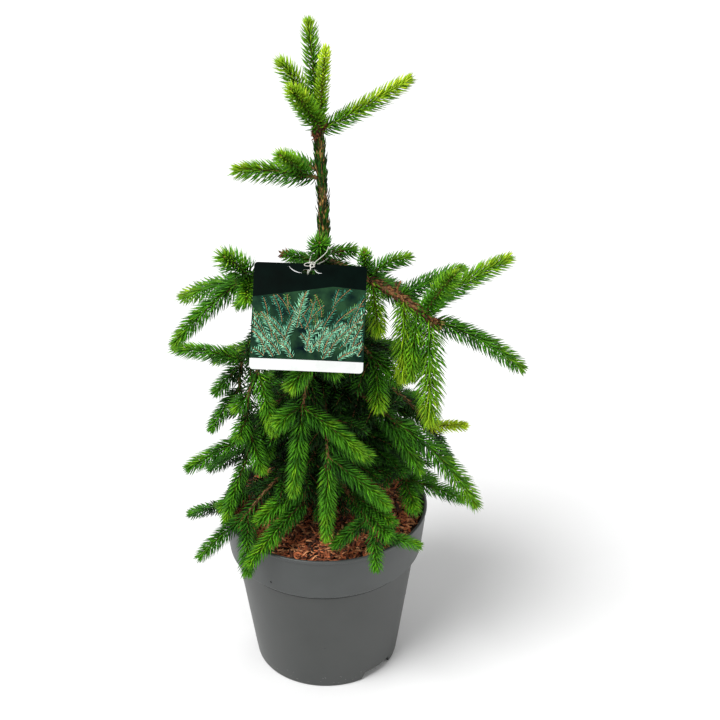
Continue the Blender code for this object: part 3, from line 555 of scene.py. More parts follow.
# From a shoot's foot to its tip: how far its needles lean forward, and how long they are.
NEEDLE_LEAN = ((0.0, 0.55), (0.12, 0.75), (0.7, 0.85), (0.92, 1.1), (1.0, 1.9))
NEEDLE_LENGTHS = ((0.0, 0.80), (0.08, 1.0), (0.6, 0.96), (0.85, 0.86), (1.0, 0.62))
LEANING = 1.40  # a needle's length for each unit that it has to reach out
LEAN_ABOVE = 0.45
SHORTER_ABOVE = 0.16
HANG_BELOW = 0.25
LIFT_ABOVE = 0.3
# Painted light and shade: needles on a shoot's upper side take a paler tone, those under it a darker one.
PAINTED_LIGHT_ABOVE = 0.09
SPRAY_SPREAD = 0.045
TONE_SPREAD = 0.05
TUFT_NEEDLES = 18
TUFT_LENGTHS = (0.62, 0.82)
TUFT_WIDTH = 0.00070


class Foliage:
    """Needles gathered in arrays over all the plant's shoots."""

    def __init__(self):
        self.rows = []

    def add(self, roots, ways, lengths, bends, widths, tones):
        clear = np.ones(len(roots), bool)
        for share in (0.4, 0.7, 1.0):
            clear &= is_clear(roots + ways * lengths[:, None] * share)
        rows = np.column_stack((roots, ways, lengths, bends, widths, tones))
        self.rows.append(rows[clear])

    def make(self):
        rows = np.concatenate(self.rows)
        dealt = np.digitize(rows[:, 11], TONE_EDGES)
        for number, tone in enumerate(TONES):
            chosen = rows[dealt == number]
            parts = max(1, math.ceil(len(chosen) / MOST_NEEDLES))
            for part, some in enumerate(np.array_split(chosen, parts)):
                heap = Heap()
                add_needles(heap, *np.split(some[:, :11], (3, 6, 7, 10), axis=1))
                heap.piece(f"needles_{tone}_{part + 1}", tone, "foliage")


def add_needled(foliage, axis, reach, tone, rng, density=2900, rise=0.34, width=0.00078):
    """Needles round an axis in a spiral. All lean to the tip, those above the most, and those below hang.

    Their tone climbs by the rise from the axis's foot to its tip, and is higher on the shoot's upper side and
    lower under it, as painted light and painted shade.
    """
    count = max(6, int(axis.length * density))
    share = (np.arange(count) + rng.uniform(0.3, 0.7, count)) / count
    turn = np.arange(count) * GOLDEN_ANGLE + rng.normal(0, 0.06, count)
    _, roots, t, out = stand_on(axis, share, turn)
    above = out[:, 2] * (1 - np.abs(t[:, 2]))
    uneven = rng.normal(0, 0.05, count)
    forward = interpolate(NEEDLE_LEAN, share) + (LEAN_ABOVE * np.maximum(above, 0) + uneven)
    ways = unit(out + t * forward[:, None] + rng.normal(0, 0.03, (count, 3)))
    lengths = reach * LEANING * interpolate(NEEDLE_LENGTHS, share)
    lengths *= (1 - SHORTER_ABOVE * above) * (1 + rng.normal(0, 0.06, count))
    bends = unit(t - UP * HANG_BELOW * (above[:, None] < 0) + UP * LIFT_ABOVE * (above[:, None] >= 0))
    sprays = rng.normal(0, SPRAY_SPREAD, int(axis.length / SPRAY) + 2)
    spray = (share * axis.length / SPRAY).astype(int)
    # painted light above the shoot, painted shade under it
    tones = tone + rise * share**1.6 + sprays[spray] + PAINTED_LIGHT_ABOVE * out[:, 2]
    tones += rng.normal(0, TONE_SPREAD, count)
    widths = np.full(count, width) * (1 + rng.normal(0, 0.08, count))
    foliage.add(roots + out * 0.0004, ways, lengths, bends, widths, tones)


def add_tuft(foliage, axis, reach, tone, rng):
    """The needles that close round the bud at a shoot's tip."""
    point, t = axis.points[-1], axis.tangents[-1]
    out = crosswise(axis.sides[-1], axis.ups[-1], np.arange(TUFT_NEEDLES) * GOLDEN_ANGLE)
    spread = np.linspace(0.25, 0.75, TUFT_NEEDLES)[:, None]
    ways = unit(out * spread + t + rng.normal(0, 0.06, (TUFT_NEEDLES, 3)))
    lengths = reach * rng.uniform(*TUFT_LENGTHS, TUFT_NEEDLES)
    roots = point + out * 0.0006 - t * rng.uniform(0, 0.003, (TUFT_NEEDLES, 1))
    tones = tone + rng.normal(0, TONE_SPREAD, TUFT_NEEDLES)
    bends, widths = np.tile(t, (TUFT_NEEDLES, 1)), np.full(TUFT_NEEDLES, TUFT_WIDTH)
    foliage.add(roots, ways, lengths, bends, widths, tones)


CROWN_FOOT = 0.26
CROWN_HEIGHT = 0.40
CROWN_REACH = 0.20


def freshness(point):
    """How bright a shoot's needles are: the more so the higher and the farther out it grows."""
    high, out = (point[2] - CROWN_FOOT) / CROWN_HEIGHT, math.hypot(*point[:2]) / CROWN_REACH
    return 0.20 + 0.30 * float(np.clip(high, 0, 1)) + 0.12 * float(np.clip(out, 0, 1))


# A whorl of dry scales: their size and number, how far up they stand in sizes, and the radius they go round.
Whorl = namedtuple("Whorl", "size count tall girth", defaults=(0.9, 0.0))
SHOOT_WHORL = Whorl(0.0042, 16)
STEM_WHORL = Whorl(0.0052, 30, 0.9, 0.0008)
BARE_WHORL = Whorl(0.0060, 44, 0.9, 0.0008)
BARE_BUDS = Whorl(0.0085, 18, 0.9, 0.0026)
SPUR_WHORL = Whorl(0.0056, 12, 1.0)
DRY_WHORL = Whorl(0.0060, 46, 1.1, 0.0010)
TOP_WHORL = Whorl(0.0068, 150, 0.5, 0.0036)
SIDE_WHORL = Whorl(0.0044, 34, 1.8)
SCALE_BREADTH = 0.20


def add_whorl(heap, point, way, whorl, rng):
    """Dry bud scales round a point on a limb that goes a way."""
    size, count = whorl.size, whorl.count
    side = unit(np.cross(way, UP) + 1e-4)
    out = crosswise(side, np.cross(side, way), np.arange(count) * GOLDEN_ANGLE)
    ways = unit(out + way * rng.uniform(0.2, 1.8, (count, 1)))
    lengths = size * rng.uniform(0.6, 1.15, (count, 1))
    up = way * rng.uniform(-0.4, whorl.tall, (count, 1)) * size
    roots = point + out * (size * 0.25 + whorl.girth) + up
    add_scales(heap, roots, ways, out, lengths, lengths * SCALE_BREADTH)


BUD_SIZE = 0.0030
# A bud's places along the shoot and its radius there, both in sizes.
BUD_OUTLINE = ((-0.3, 0.25), (0.1, 0.42), (0.5, 0.46), (0.9, 0.30), (1.25, 0.06))


def add_bud(heap, axis):
    """A bud that ends a shoot."""
    point, t = axis.points[-1], axis.tangents[-1]
    path = [point + t * BUD_SIZE * share for share, _ in BUD_OUTLINE]
    add_tube(heap, axis_of(path, BUD_SIZE), [BUD_SIZE * radius for _, radius in BUD_OUTLINE], 7)


# ---------------- short dark shoots inside the crown

INNER_GAP = 0.007  # along the limb
INNER_TURN = (35, 85)  # away from the limb
INNER_RISE = (-42, 14)
INNER_LENGTH = (0.028, 0.054)
INNER_STEP = 0.008
INNER_TOP = 0.475
INNER_REACH = 0.094  # from the pot's axis
INNER_RADII = (0.0009, 0.0005)
INNER_NEEDLES = {"density": 1700, "rise": 0.12, "width": 0.00072}
TRUNK_SHOOTS = 150
TRUNK_SHOOTS_FOOT = 0.250
TRUNK_SHOOTS_SPAN = 0.225
# Longer ones that fill the lower crown: from and to azimuth, and how many.
LONG_SHOOTS = ((-30, 42, 34), (118, 168, 12))
LONG_SHOOTS_FOOT = 0.275
LONG_SHOOTS_SPAN = 0.075
HIDDEN_SHOOTS = 14  # behind the card's slot
HIDDEN_SHOOTS_FOOT = 0.486
HIDDEN_SHOOTS_GAP = 0.003


def add_inner(wood, path, rng):
    """A short shoot with needles, the darker the nearer to the pot's axis it ends: partly older needles,
    partly painted shade deep in the crown.
    """
    axis = axis_of(path, 0.004)
    add_tube(wood.twigs, axis, np.linspace(*INNER_RADII, len(axis.points)), 5)
    far = float(np.clip(math.hypot(*axis.points[-1, :2]) / 0.12, 0, 1))
    # painted shade: the nearer the axis, the darker the tone
    tone = 0.18 * far + rng.uniform(-0.06, 0.06)
    add_needled(wood.foliage, axis, 0.0090, tone, rng, **INNER_NEEDLES)


def fill_inside(wood, axis, azimuth, rng):
    """Side shoots left and right of a limb in turn, where they stay in the crown and clear of the rest."""
    made = []
    for k in range(1, int(axis.length / INNER_GAP)):
        point = stand_on(axis, np.array([k * INNER_GAP / axis.length]), np.zeros(1))[1][0]
        turn = azimuth + (1 if k % 2 else -1) * rng.uniform(*INNER_TURN)
        rise = rng.uniform(*INNER_RISE)
        length = rng.uniform(*INNER_LENGTH)
        if point[2] < INNER_TOP:
            path = sagging_path(Vector(point), turn, rise + 6, 18, length, INNER_STEP)
            if path[-1].xy.length < INNER_REACH and is_clear(rows_of(path[2:])).all():
                made.append(path)
    for path in made:
        add_inner(wood, path, rng)


def trunk_shoot(height, turn, rise, sag, length):
    """Path of a shoot that starts on the trunk's bark."""
    start = trunk_axis(height) + heading(turn, 0) * trunk_radius(height)
    return sagging_path(start, turn, rise, sag, length, INNER_STEP)


def trunk_shoots(rng):
    """Paths of the short shoots on the trunk itself, one by one."""
    for k in range(TRUNK_SHOOTS):
        height = TRUNK_SHOOTS_FOOT + TRUNK_SHOOTS_SPAN * k / TRUNK_SHOOTS
        turn = math.degrees(k * GOLDEN_ANGLE)
        far = 0.085 if height < 0.34 else 0.062
        path = trunk_shoot(height, turn, rng.uniform(-32, 26), 22, rng.uniform(0.040, far))
        if is_clear(rows_of(path[3:])).all():
            yield path
    for low, high, count in LONG_SHOOTS:
        for k in range(count):
            height = LONG_SHOOTS_FOOT + LONG_SHOOTS_SPAN * k / count
            turn = rng.uniform(low, high)
            path = trunk_shoot(height, turn, rng.uniform(-14, 10), 24, rng.uniform(0.085, 0.118))
            if is_clear(rows_of(path[3:])).all():
                yield path
    for k in range(HIDDEN_SHOOTS):
        height = HIDDEN_SHOOTS_FOOT + HIDDEN_SHOOTS_GAP * k
        turn = -90 + rng.uniform(-42, 42)
        yield trunk_shoot(height, turn, rng.uniform(-14, 8), 18, rng.uniform(0.030, 0.046))


# ---------------- wood

# The heaps that wood and its buds go to, and the foliage.
Wood = namedtuple("Wood", "boughs shaggy twigs scales buds foliage")
# Bark: how many sides a limb has, the depth of the relief, and its scale per metre.
TRUNK_RELIEF = (26, 0.0007, 210)
BOUGH_RELIEF = (14, 0.00045, 300)
STEM_RELIEF = (12, 0.00035, 420)
BARK_STRETCH = 3.0
# Leaf pegs: how many a metre, their size, the share of the limb where they start, and how far they lean out.
Pegs = namedtuple("Pegs", "density size low lean", defaults=(0.0, (0.35, 0.9)))
TRUNK_PEGS = Pegs(520, 0.0022, 0.5)
YOUNG_PEGS = Pegs(3600, 0.0105, 0.0, (0.04, 0.24))
BOUGH_PEGS = Pegs(300, 0.0020)
BARE_BOUGH_PEGS = Pegs(2000, 0.0085, 0.80)
BARE_STEM_PEGS = Pegs(2600, 0.0078)


def relief(points, scale):
    """Uneven height of bark at each point: ridges that run along Z."""
    made = []
    for x, y, z in points:
        place = Vector((x, y, z / BARK_STRETCH)) * scale
        made.append(noise.fractal(place, 0.9, 2.1, 4) + 0.5 * noise.noise(place * 3.1))
    return np.array(made)


def add_rough_tube(heap, axis, radii, sides, depth, scale):
    """A limb with bark."""
    smooth = rings_round(axis, radii, sides)
    uneven = relief(smooth.reshape(-1, 3), scale).reshape(len(axis.points), sides)
    add_tube(heap, axis, radii[:, None] + depth * uneven, sides)


PRESSED = 600  # old needles that stay pressed against the leading shoot
PRESSED_FOOT = 0.512
PRESSED_LENGTH = (0.009, 0.0150)
PRESSED_WIDTH = 0.00062
PRESSED_TONES = (0.14, 0.40)  # half of them each
YOUNG_FOOT = 0.500  # from here up the trunk is the young leading shoot's wood


def trunk_piece(name, look, low, high, slim, pegs, rng):
    """A length of trunk with bark and leaf pegs, slimmer than the solid to make room for them."""
    heights = np.linspace(low, high, round((high - low) / 0.0024))
    axis = axis_of([trunk_axis(float(height)) for height in heights], 0.01)
    radii = trunk_radius(axis.points[:, 2]) - slim
    heap = Heap()
    add_rough_tube(heap, axis, radii, *TRUNK_RELIEF)
    add_pegs(heap, axis, radii, pegs, rng)
    heap.piece(name, look, "trunk")


def make_trunk(foliage, rng):
    trunk_piece("trunk_bark", "bark", TRUNK_FOOT, YOUNG_FOOT, 0.0003, TRUNK_PEGS, rng)
    trunk_piece("trunk_young_bark", "young", YOUNG_FOOT, TRUNK_TIP, 0.0012, YOUNG_PEGS, rng)
    heights = np.linspace(PRESSED_FOOT, TRUNK_TIP - 0.004, 50)
    upper = axis_of([trunk_axis(float(height)) for height in heights])
    share = rng.uniform(0, 1, PRESSED)
    _, roots, t, out = stand_on(upper, share, rng.uniform(0, math.tau, PRESSED))
    ways = unit(out * rng.uniform(0.04, 0.34, (PRESSED, 1)) + t + rng.normal(0, 0.06, (PRESSED, 3)))
    tones = np.where(rng.uniform(0, 1, PRESSED) < 0.50, *PRESSED_TONES)
    roots += out * (trunk_radius(roots[:, 2])[:, None] - 0.0010)
    lengths = rng.uniform(*PRESSED_LENGTH, PRESSED)
    foliage.add(roots, ways, lengths, out * -0.4 + t * 0.2, np.full(PRESSED, PRESSED_WIDTH), tones)


def add_pegs(heap, axis, radii, pegs, rng):
    """Small leaf pegs and scales that stand off old wood, where needles have dropped."""
    count = int(axis.length * (1.0 - pegs.low) * pegs.density)
    share = rng.uniform(pegs.low, 1.0, count)
    place, roots, t, out = stand_on(axis, share, rng.uniform(0, math.tau, count))
    thick = np.interp(place, np.arange(len(radii)), radii)[:, None]
    ways = unit(out * rng.uniform(*pegs.lean, (count, 1)) + t + rng.normal(0, 0.06, (count, 3)))
    lengths = pegs.size * rng.uniform(0.6, 1.2, (count, 1))
    broad = np.minimum(lengths * 0.30, 0.0019)
    add_scales(heap, roots + out * (thick - 0.0006), ways, out, lengths, broad, 0.45)


BARE_LIMB = "right_high"
SPUR_X = 0.080  # where a dead spur stands on it
SPUR_LENGTH = 0.017
SIDE_WHORL_PLACE = (0.0055, -0.004, 0.0)  # the second whorl under the leader, from the stem's axis
LEADER_WOOD = ((0.0, 0.0046), (0.6, 0.0042), (1.0, 0.0026))
SHOOT_WOOD = ((0.0, 0.0014), (0.15, 0.0011), (1.0, 0.0007))
# Shoots that are fresher or duller than their place tells: mass, number of the shoot, and by how much.
TONE_SHIFTS = {
    ("leader", 0): 0.02, ("leader", 1): 0.30, ("leader", 2): 0.10, ("leader", 3): 0.14, ("leader", 4): 0.12,
    # The large lift on right_back's first shoot is painted light: it lies in the shade of the hanging shoots
    # above it.
    ("right_back", 0): 0.90, ("right_back", 1): -0.22, ("right_high", 2): 0.12, ("right_high", 3): 0.08,
    ("right_high", 4): -0.10, ("right_high", 5): 0.20, ("right_high", 8): 0.22, ("front_mid", 0): 0.16,
    ("left_low", 1): -0.12, ("front_left_base", 1): -0.10, ("left_base", 0): -0.10,
    ("front_left_mid", 0): 0.18, ("left_mid", 1): -0.06, ("left_mid", 2): -0.06, ("collar_front", 0): -0.14,
    ("collar_left", 0): -0.08, ("right_mid", 0): 0.12, ("right_low", 0): 0.10, ("right_front", 0): 0.12,
}
DRY_TIP = ("collar_left", 0)  # a shoot that ends in a cluster of dry scales


def make_bough(wood, limb, start, rng):
    """A limb's bough, with needles where it isn't bare. Start is the share of the limb where it ends."""
    path = limb_path(limb)[0]
    axis = axis_of(cut_path(path, 0, start, LIMB_STEP / 2))
    thick = limb_radius(limb, start * np.linspace(0, 1, len(axis.points)))
    thick[0] *= LIMB_FLARE
    thick[1] *= 1.12
    add_rough_tube(wood.boughs, axis, thick * 0.98, *BOUGH_RELIEF)
    if limb.name == BARE_LIMB:
        add_pegs(wood.shaggy, axis, thick, BARE_BOUGH_PEGS, rng)
        hidden = axis_of(cut_path(path, 0, start * 0.88, LIMB_STEP / 2))
        add_needled(wood.foliage, hidden, 0.0095, 0.22, rng, density=2600, rise=0.02)
    else:
        add_pegs(wood.boughs, axis, thick, BOUGH_PEGS, rng)
        add_needled(wood.foliage, axis, 0.0095, 0.16, rng, density=1500, rise=0.05)
        fill_inside(wood, axis, limb.azimuth, rng)


def dress_stem(wood, limb, axis, radii, rng):
    """Needles on a limb's stem, or on the bare limb pegs, a dead spur and few needles."""
    tip, way = axis.points[-1], axis.tangents[-1]
    tone = freshness(tip)
    if limb.name == BARE_LIMB:
        add_whorl(wood.buds, tip, way, BARE_BUDS, rng)
        add_pegs(wood.shaggy, axis, radii, BARE_STEM_PEGS, rng)
        foot = axis.points[np.argmin(np.abs(axis.points[:, 0] - SPUR_X))]
        middle = foot + UP * 0.008
        spur = axis_of([foot, middle, foot + UP * SPUR_LENGTH + (0.0035, -0.002, 0)], 0.004)
        add_tube(wood.shaggy, spur, np.linspace(0.0017, 0.0007, len(spur.points)), 6)
        add_whorl(wood.shaggy, middle, UP, SPUR_WHORL, rng)
        add_needled(wood.foliage, axis, 0.008, tone - 0.2, rng, density=500, rise=0.1)
    elif limb.bough:
        add_needled(wood.foliage, axis, 0.010, tone - 0.18, rng, density=1400, rise=0.1)
        fill_inside(wood, axis, limb.azimuth, rng)
    else:
        add_needled(wood.foliage, axis, 0.011, tone - 0.1, rng, density=2600, rise=0.1)


def make_mass(wood, stem, shoots, limb, rng):
    """One mass of foliage on its stem, with the bough that carries it. The leader has no limb."""
    axis = axis_of(stem)
    share = np.linspace(0, 1, len(axis.points))
    if limb:
        start = limb.bough / (limb.bough + limb.stem)
        radii = limb_radius(limb, start + (1 - start) * share)
    else:
        radii = interpolate(LEADER_WOOD, share)
    add_rough_tube(wood.twigs, axis, radii * 0.95, *STEM_RELIEF)
    if limb and limb.bough:
        make_bough(wood, limb, start, rng)
    if limb:
        dress_stem(wood, limb, axis, radii, rng)
    for number, (path, reach) in enumerate(shoots):
        add_shoot(wood, path, reach, (limb.name if limb else "leader", number), rng)
    if limb:
        whorl = BARE_WHORL if limb.name == BARE_LIMB else STEM_WHORL
        add_whorl(wood.scales, axis.points[-1], axis.tangents[-1], whorl, rng)
    else:
        foot, way = axis.points[0], axis.tangents[0]
        add_whorl(wood.scales, foot, way, TOP_WHORL, rng)
        add_whorl(wood.scales, foot + way * 0.006 + SIDE_WHORL_PLACE, way, SIDE_WHORL, rng)


def make_limbs(foliage, rng):
    """Boughs, stems, shoots and their scales, with needles on all but the bare limb."""
    wood = Wood(*(Heap() for _ in range(5)), foliage)
    for path in trunk_shoots(rng):
        add_inner(wood, path, rng)
    for stem, shoots, limb in grow():
        make_mass(wood, stem, shoots, limb, rng)
    wood.boughs.piece("boughs_bark", "bark", "boughs")
    wood.shaggy.piece("bough_pegs", "shag", "boughs")
    wood.twigs.piece("twigs", "twig", "foliage")
    wood.scales.piece("bud_scales", "scale", "foliage")
    wood.buds.piece("buds", "bud", "foliage")
    foliage.make()


def add_shoot(wood, path, reach, key, rng):
    """A shoot with its needles, its bud and the scales round its foot."""
    axis = axis_of(cut_path(path, 0, 1 - TUFT / path_length(path), SHOOT_STEP))
    tone = freshness(axis.points[-1]) + rng.uniform(-0.06, 0.08) + TONE_SHIFTS.get(key, 0)
    add_tube(wood.twigs, axis, interpolate(SHOOT_WOOD, np.linspace(0, 1, len(axis.points))), 6)
    add_needled(wood.foliage, axis, reach, tone, rng)
    add_tuft(wood.foliage, axis, reach, tone + 0.29, rng)
    add_whorl(wood.scales, axis.points[0], axis.tangents[0], SHOOT_WHORL, rng)
    add_bud(wood.buds, axis)
    if key == DRY_TIP:
        add_whorl(wood.scales, axis.points[-1], axis.tangents[-1], DRY_WHORL, rng)


# ---------------- pot and mulch

POT_SIDES = 160
FOOT_ROUND = 0.0018
FOOT_DRAFT = 0.0012
GROOVE = 0.0006  # depth of the groove under the collar


def closed(mesh):
    """The mesh with its faces turned outwards."""
    bmesh.ops.recalc_face_normals(mesh, faces=mesh.faces)
    return mesh


def revolve(profile, sides):
    """Closed mesh of an outline of (radius, height) pairs turned round Z. A radius of 0 is on the axis."""
    mesh = bmesh.new()
    turns = [(math.cos(math.tau * j / sides), math.sin(math.tau * j / sides)) for j in range(sides)]
    rings = []
    for radius, height in profile:
        if radius == 0:
            rings.append([mesh.verts.new((0, 0, height))] * sides)
        else:
            rings.append([mesh.verts.new((radius * x, radius * y, height)) for x, y in turns])
    for low, high in zip(rings, rings[1:]):
        for j in range(sides):
            mesh.faces.new(list(dict.fromkeys([low[j - 1], low[j], high[j], high[j - 1]])))
    return closed(mesh)


def loft(places):
    """A closed block through like rings of places."""
    mesh = bmesh.new()
    rings = [[mesh.verts.new(place) for place in ring] for ring in places]
    for a, b in zip(rings, rings[1:]):
        for k in range(len(a)):
            mesh.faces.new([a[k - 1], a[k], b[k], b[k - 1]])
    for ring in (rings[0], rings[-1]):
        mesh.faces.new(ring)
    return closed(mesh)


def mesh_of(name, made):
    mesh = bpy.data.meshes.new(name)
    made.to_mesh(mesh)
    made.free()
    return mesh


def cut(mesh, cutter):
    """The mesh with a block taken out of it."""
    body, other = put("body", mesh), put("cutter", mesh_of("cutter", cutter))
    modifier = body.modifiers.new("Cut", "BOOLEAN")
    modifier.operation = "DIFFERENCE"
    modifier.solver = "EXACT"
    modifier.object = other
    made = bpy.data.meshes.new_from_object(body.evaluated_get(bpy.context.evaluated_depsgraph_get()))
    for obj in (body, other):
        bpy.data.objects.remove(obj)
    return made


def arc(centre, radius, low, high, count=5):
    """Points of a rounded corner, from one angle to another."""
    turns = [math.radians(low + (high - low) * k / (count - 1)) for k in range(count)]
    return [(centre[0] + radius * math.cos(t), centre[1] + radius * math.sin(t)) for t in turns]


def pot_outline():
    """Outer outline from the base's middle up to the rim, then the inner one down to the floor."""
    lip_foot = POT_HEIGHT - LIP_HEIGHT
    groove = WALL_TOP_RADIUS - GROOVE
    inner = POT_RIM_RADIUS - POT_WALL - LIP_STEP
    heights = [COLLAR_FOOT * k / 9 for k in range(1, 9)]
    above = [COLLAR_EDGE + height for height in (0.012, 0.024, 0.036)]
    return [
        (0, 0), (MIDDLE_FOOT_RADIUS, 0), (MIDDLE_FOOT_RADIUS + FOOT_DRAFT, POT_BASE),
        (FOOT_RING_RADIUS, POT_BASE), (FOOT_RING_RADIUS + FOOT_DRAFT, 0), (POT_FOOT_RADIUS - 0.004, 0),
        *arc((POT_FOOT_RADIUS - FOOT_ROUND, FOOT_ROUND), FOOT_ROUND, -90, -4),
        *((pot_radius_at(height), height) for height in heights),
        (WALL_TOP_RADIUS, COLLAR_FOOT - 0.0017), (groove, COLLAR_FOOT - 0.0010),
        (groove, COLLAR_FOOT - 0.0003), (WALL_TOP_RADIUS + 0.0009, COLLAR_FOOT),
        (COLLAR_STEP_RADIUS, COLLAR_FOOT + 0.0006),
        *arc((COLLAR_RADIUS - FOOT_ROUND, COLLAR_EDGE + 0.0004), FOOT_ROUND, -45, 0),
        *((pot_radius_at(height), height) for height in above),
        (pot_radius_at(lip_foot) - LIP_STEP, lip_foot - 0.0004),
        *arc((POT_RIM_RADIUS - 0.0010, lip_foot + 0.0010), 0.0010, -90, 0, 4),
        *arc((POT_RIM_RADIUS - 0.0012, POT_HEIGHT - 0.0012), 0.0012, 6, 88),
        *arc((inner + 0.0009, POT_HEIGHT - 0.0009), 0.0009, 92, 178, 4),
        (pot_radius_at(0.18) - POT_WALL, 0.18), (COLLAR_RADIUS - POT_WALL, COLLAR_EDGE + GAP),
        (WALL_TOP_RADIUS - POT_WALL, COLLAR_FOOT - POT_WALL / 2),
        (pot_radius_at(POT_FLOOR) - POT_WALL, POT_FLOOR), (0, POT_FLOOR)]


def notch_cutter(azimuth):
    """A block across the foot ring, with a flat top narrower than its foot."""
    out, side = heading(azimuth, 0), heading(azimuth + 90, 0)
    half = POT_FOOT_RADIUS * math.radians(NOTCH_WIDTH) / 2
    near, far = POT_FOOT_RADIUS - NOTCH_DEPTH, POT_FOOT_RADIUS + CUT_PAST
    levels = ((-NOTCH_HEIGHT, half * (2 - NOTCH_TOP_SHARE)), (NOTCH_HEIGHT, half * NOTCH_TOP_SHARE))
    return loft([[out * reach + side * aside + Vector((0, 0, height))
                  for reach, aside in ((near, -wide), (far, -wide), (far, wide), (near, wide))]
                 for height, wide in levels])


def drain_cutter(azimuth):
    mesh = bmesh.new()
    bmesh.ops.create_cone(mesh, cap_ends=True, segments=20, radius1=DRAIN_RADIUS, radius2=DRAIN_RADIUS,
                          depth=2 * CUT_PAST)
    bmesh.ops.translate(mesh, verts=mesh.verts, vec=heading(azimuth, 0) * DRAIN_RING)
    return mesh


def make_pot():
    mesh = mesh_of("pot", revolve(pot_outline(), POT_SIDES))
    for azimuth in NOTCH_AZIMUTHS:
        mesh = cut(mesh, notch_cutter(azimuth))
    for k in range(DRAIN_COUNT):
        mesh = cut(mesh, drain_cutter(360 * (k + 0.5) / DRAIN_COUNT))
    mesh.shade_smooth()
    mesh.set_sharp_from_angle(angle=math.radians(38))
    place_piece("pot_shell", mesh, "pot", "pot")
    mesh.materials.append(MATERIALS["collar"])
    # Faces above the collar's foot take a lighter copy of the same plastic: painted light on the collar.
    for face in mesh.polygons:
        face.material_index = int(face.center.z > COLLAR_FOOT)
    make_wear()


# Spots moulded in the wall: azimuth, height, radius.
SPOTS = ((-90.0, 0.0655, 0.0009), (-121.5, 0.1650, 0.0016))
SPOT_LEVELS = (-0.0004, 0.0001, 0.0003)  # off the wall
SCUFFS = 110
SCUFF_LENGTH = (0.0008, 0.0030)
SCUFF_HALF = 0.00022
SCUFF_LEVELS = (0.0062, 0.0085, 0.0155)


def on_wall(azimuth, height, lift):
    """A place on the pot's wall, or lift off it."""
    return np.array(heading(azimuth, 0)) * (pot_radius_at(height) + lift) + UP * height


def make_wear():
    """The gate mark and a spot on the collar, and the scuffs where the foot has been set down."""
    rng = np.random.default_rng(SEED + 3)
    spots, scuffs = Heap(), Heap()
    for azimuth, height, radius in SPOTS:
        path = [Vector(on_wall(azimuth, height, lift)) for lift in SPOT_LEVELS]
        add_tube(spots, axis_of(path, 0.0002), np.linspace(radius, radius * 0.8, 5), 12)
    for _ in range(SCUFFS):
        azimuth = rng.uniform(0, 360)
        root = on_wall(azimuth, rng.choice(SCUFF_LEVELS) + rng.normal(0, 0.0007), 0.00002)
        way = unit(np.array(heading(azimuth + 90, 0)) + UP * rng.normal(0, 0.25))
        face = np.array(heading(azimuth, 0))
        add_scales(scuffs, root[None], way[None], face[None], rng.uniform(*SCUFF_LENGTH), SCUFF_HALF, 0.3)
    spots.piece("pot_spots", "spot", "pot")
    scuffs.piece("pot_scuffs", "scuff", "pot")


MULCH_RADIUS = pot_radius_at(MULCH_EDGE) - POT_WALL - LIP_STEP
BED_RADIUS = MULCH_RADIUS - GAP
BED_DROP = 0.0010  # the bed is this far under the fibres' own level
LUMP_HEIGHT = 0.0026
CRUMB_HEIGHT = 0.0006
BED_RINGS = 56
BED_SIDES = 150
FIBRES = 4600
FIBRE_LENGTH = (0.006, 0.020)
FIBRE_HALF = (0.0007, 0.0024)  # half of its width
FIBRE_TONES = ("dark", "rust", "brown", "tan")
FIBRE_SHARES = (0.13, 0.47, 0.18, 0.22)
FIBRE_SPACE = (0.013, BED_RADIUS - 0.0012)  # between the trunk and the pot
FIBRE_PLACES = np.linspace(0, 1, 5)
FIBRE_WIDTHS = interpolate(((0, 0.45), (0.3, 1), (0.8, 0.9), (1, 0.3)), FIBRE_PLACES)
FIBRE_QUADS = [(3 * k + j, 3 * k + (j + 1) % 3, 3 * k + 3 + (j + 1) % 3, 3 * k + 3 + j)
               for k in range(len(FIBRE_PLACES) - 1) for j in range(3)]
FIBRE_CAPS = [(2, 1, 0), (12, 13, 14)]


def mulch_height(x, y):
    """The filling's surface: heaped towards the trunk, and lumpy."""
    inside = MULCH_RADIUS - math.hypot(x, y)
    share = min(1.0, max(0.0, inside / (MULCH_RADIUS - 0.02)))
    lumps = LUMP_HEIGHT * noise.fractal(Vector((x, y, 0)) * 46, 0.9, 2.0, 3)
    heap = MULCH_EDGE + (MULCH_CROWN - MULCH_EDGE) * math.sin(share * math.pi / 2)
    return heap + lumps * min(1.0, inside / 0.01)


def make_bed():
    profile = [(0, POT_FLOOR + GAP), (pot_radius_at(POT_FLOOR) - POT_WALL - GAP, POT_FLOOR + GAP),
               (WALL_TOP_RADIUS - POT_WALL - GAP, COLLAR_FOOT - POT_WALL / 2),
               (COLLAR_RADIUS - POT_WALL - 2 * GAP, COLLAR_EDGE + 2 * GAP)]
    profile += [(BED_RADIUS * (1 - k / BED_RINGS), MULCH_EDGE) for k in range(BED_RINGS)] + [(0, MULCH_EDGE)]
    bed = revolve(profile, BED_SIDES)
    for vertex in bed.verts:
        x, y, z = vertex.co
        if z > MULCH_EDGE - 0.001:
            rough = CRUMB_HEIGHT * noise.noise(Vector((x, y, 0.3)) * 330)
            vertex.co.z = mulch_height(x, y) + rough - BED_DROP
    mesh = mesh_of("mulch", bed)
    mesh.shade_smooth()
    place_piece("mulch_base", mesh, "mulch", "mulch")


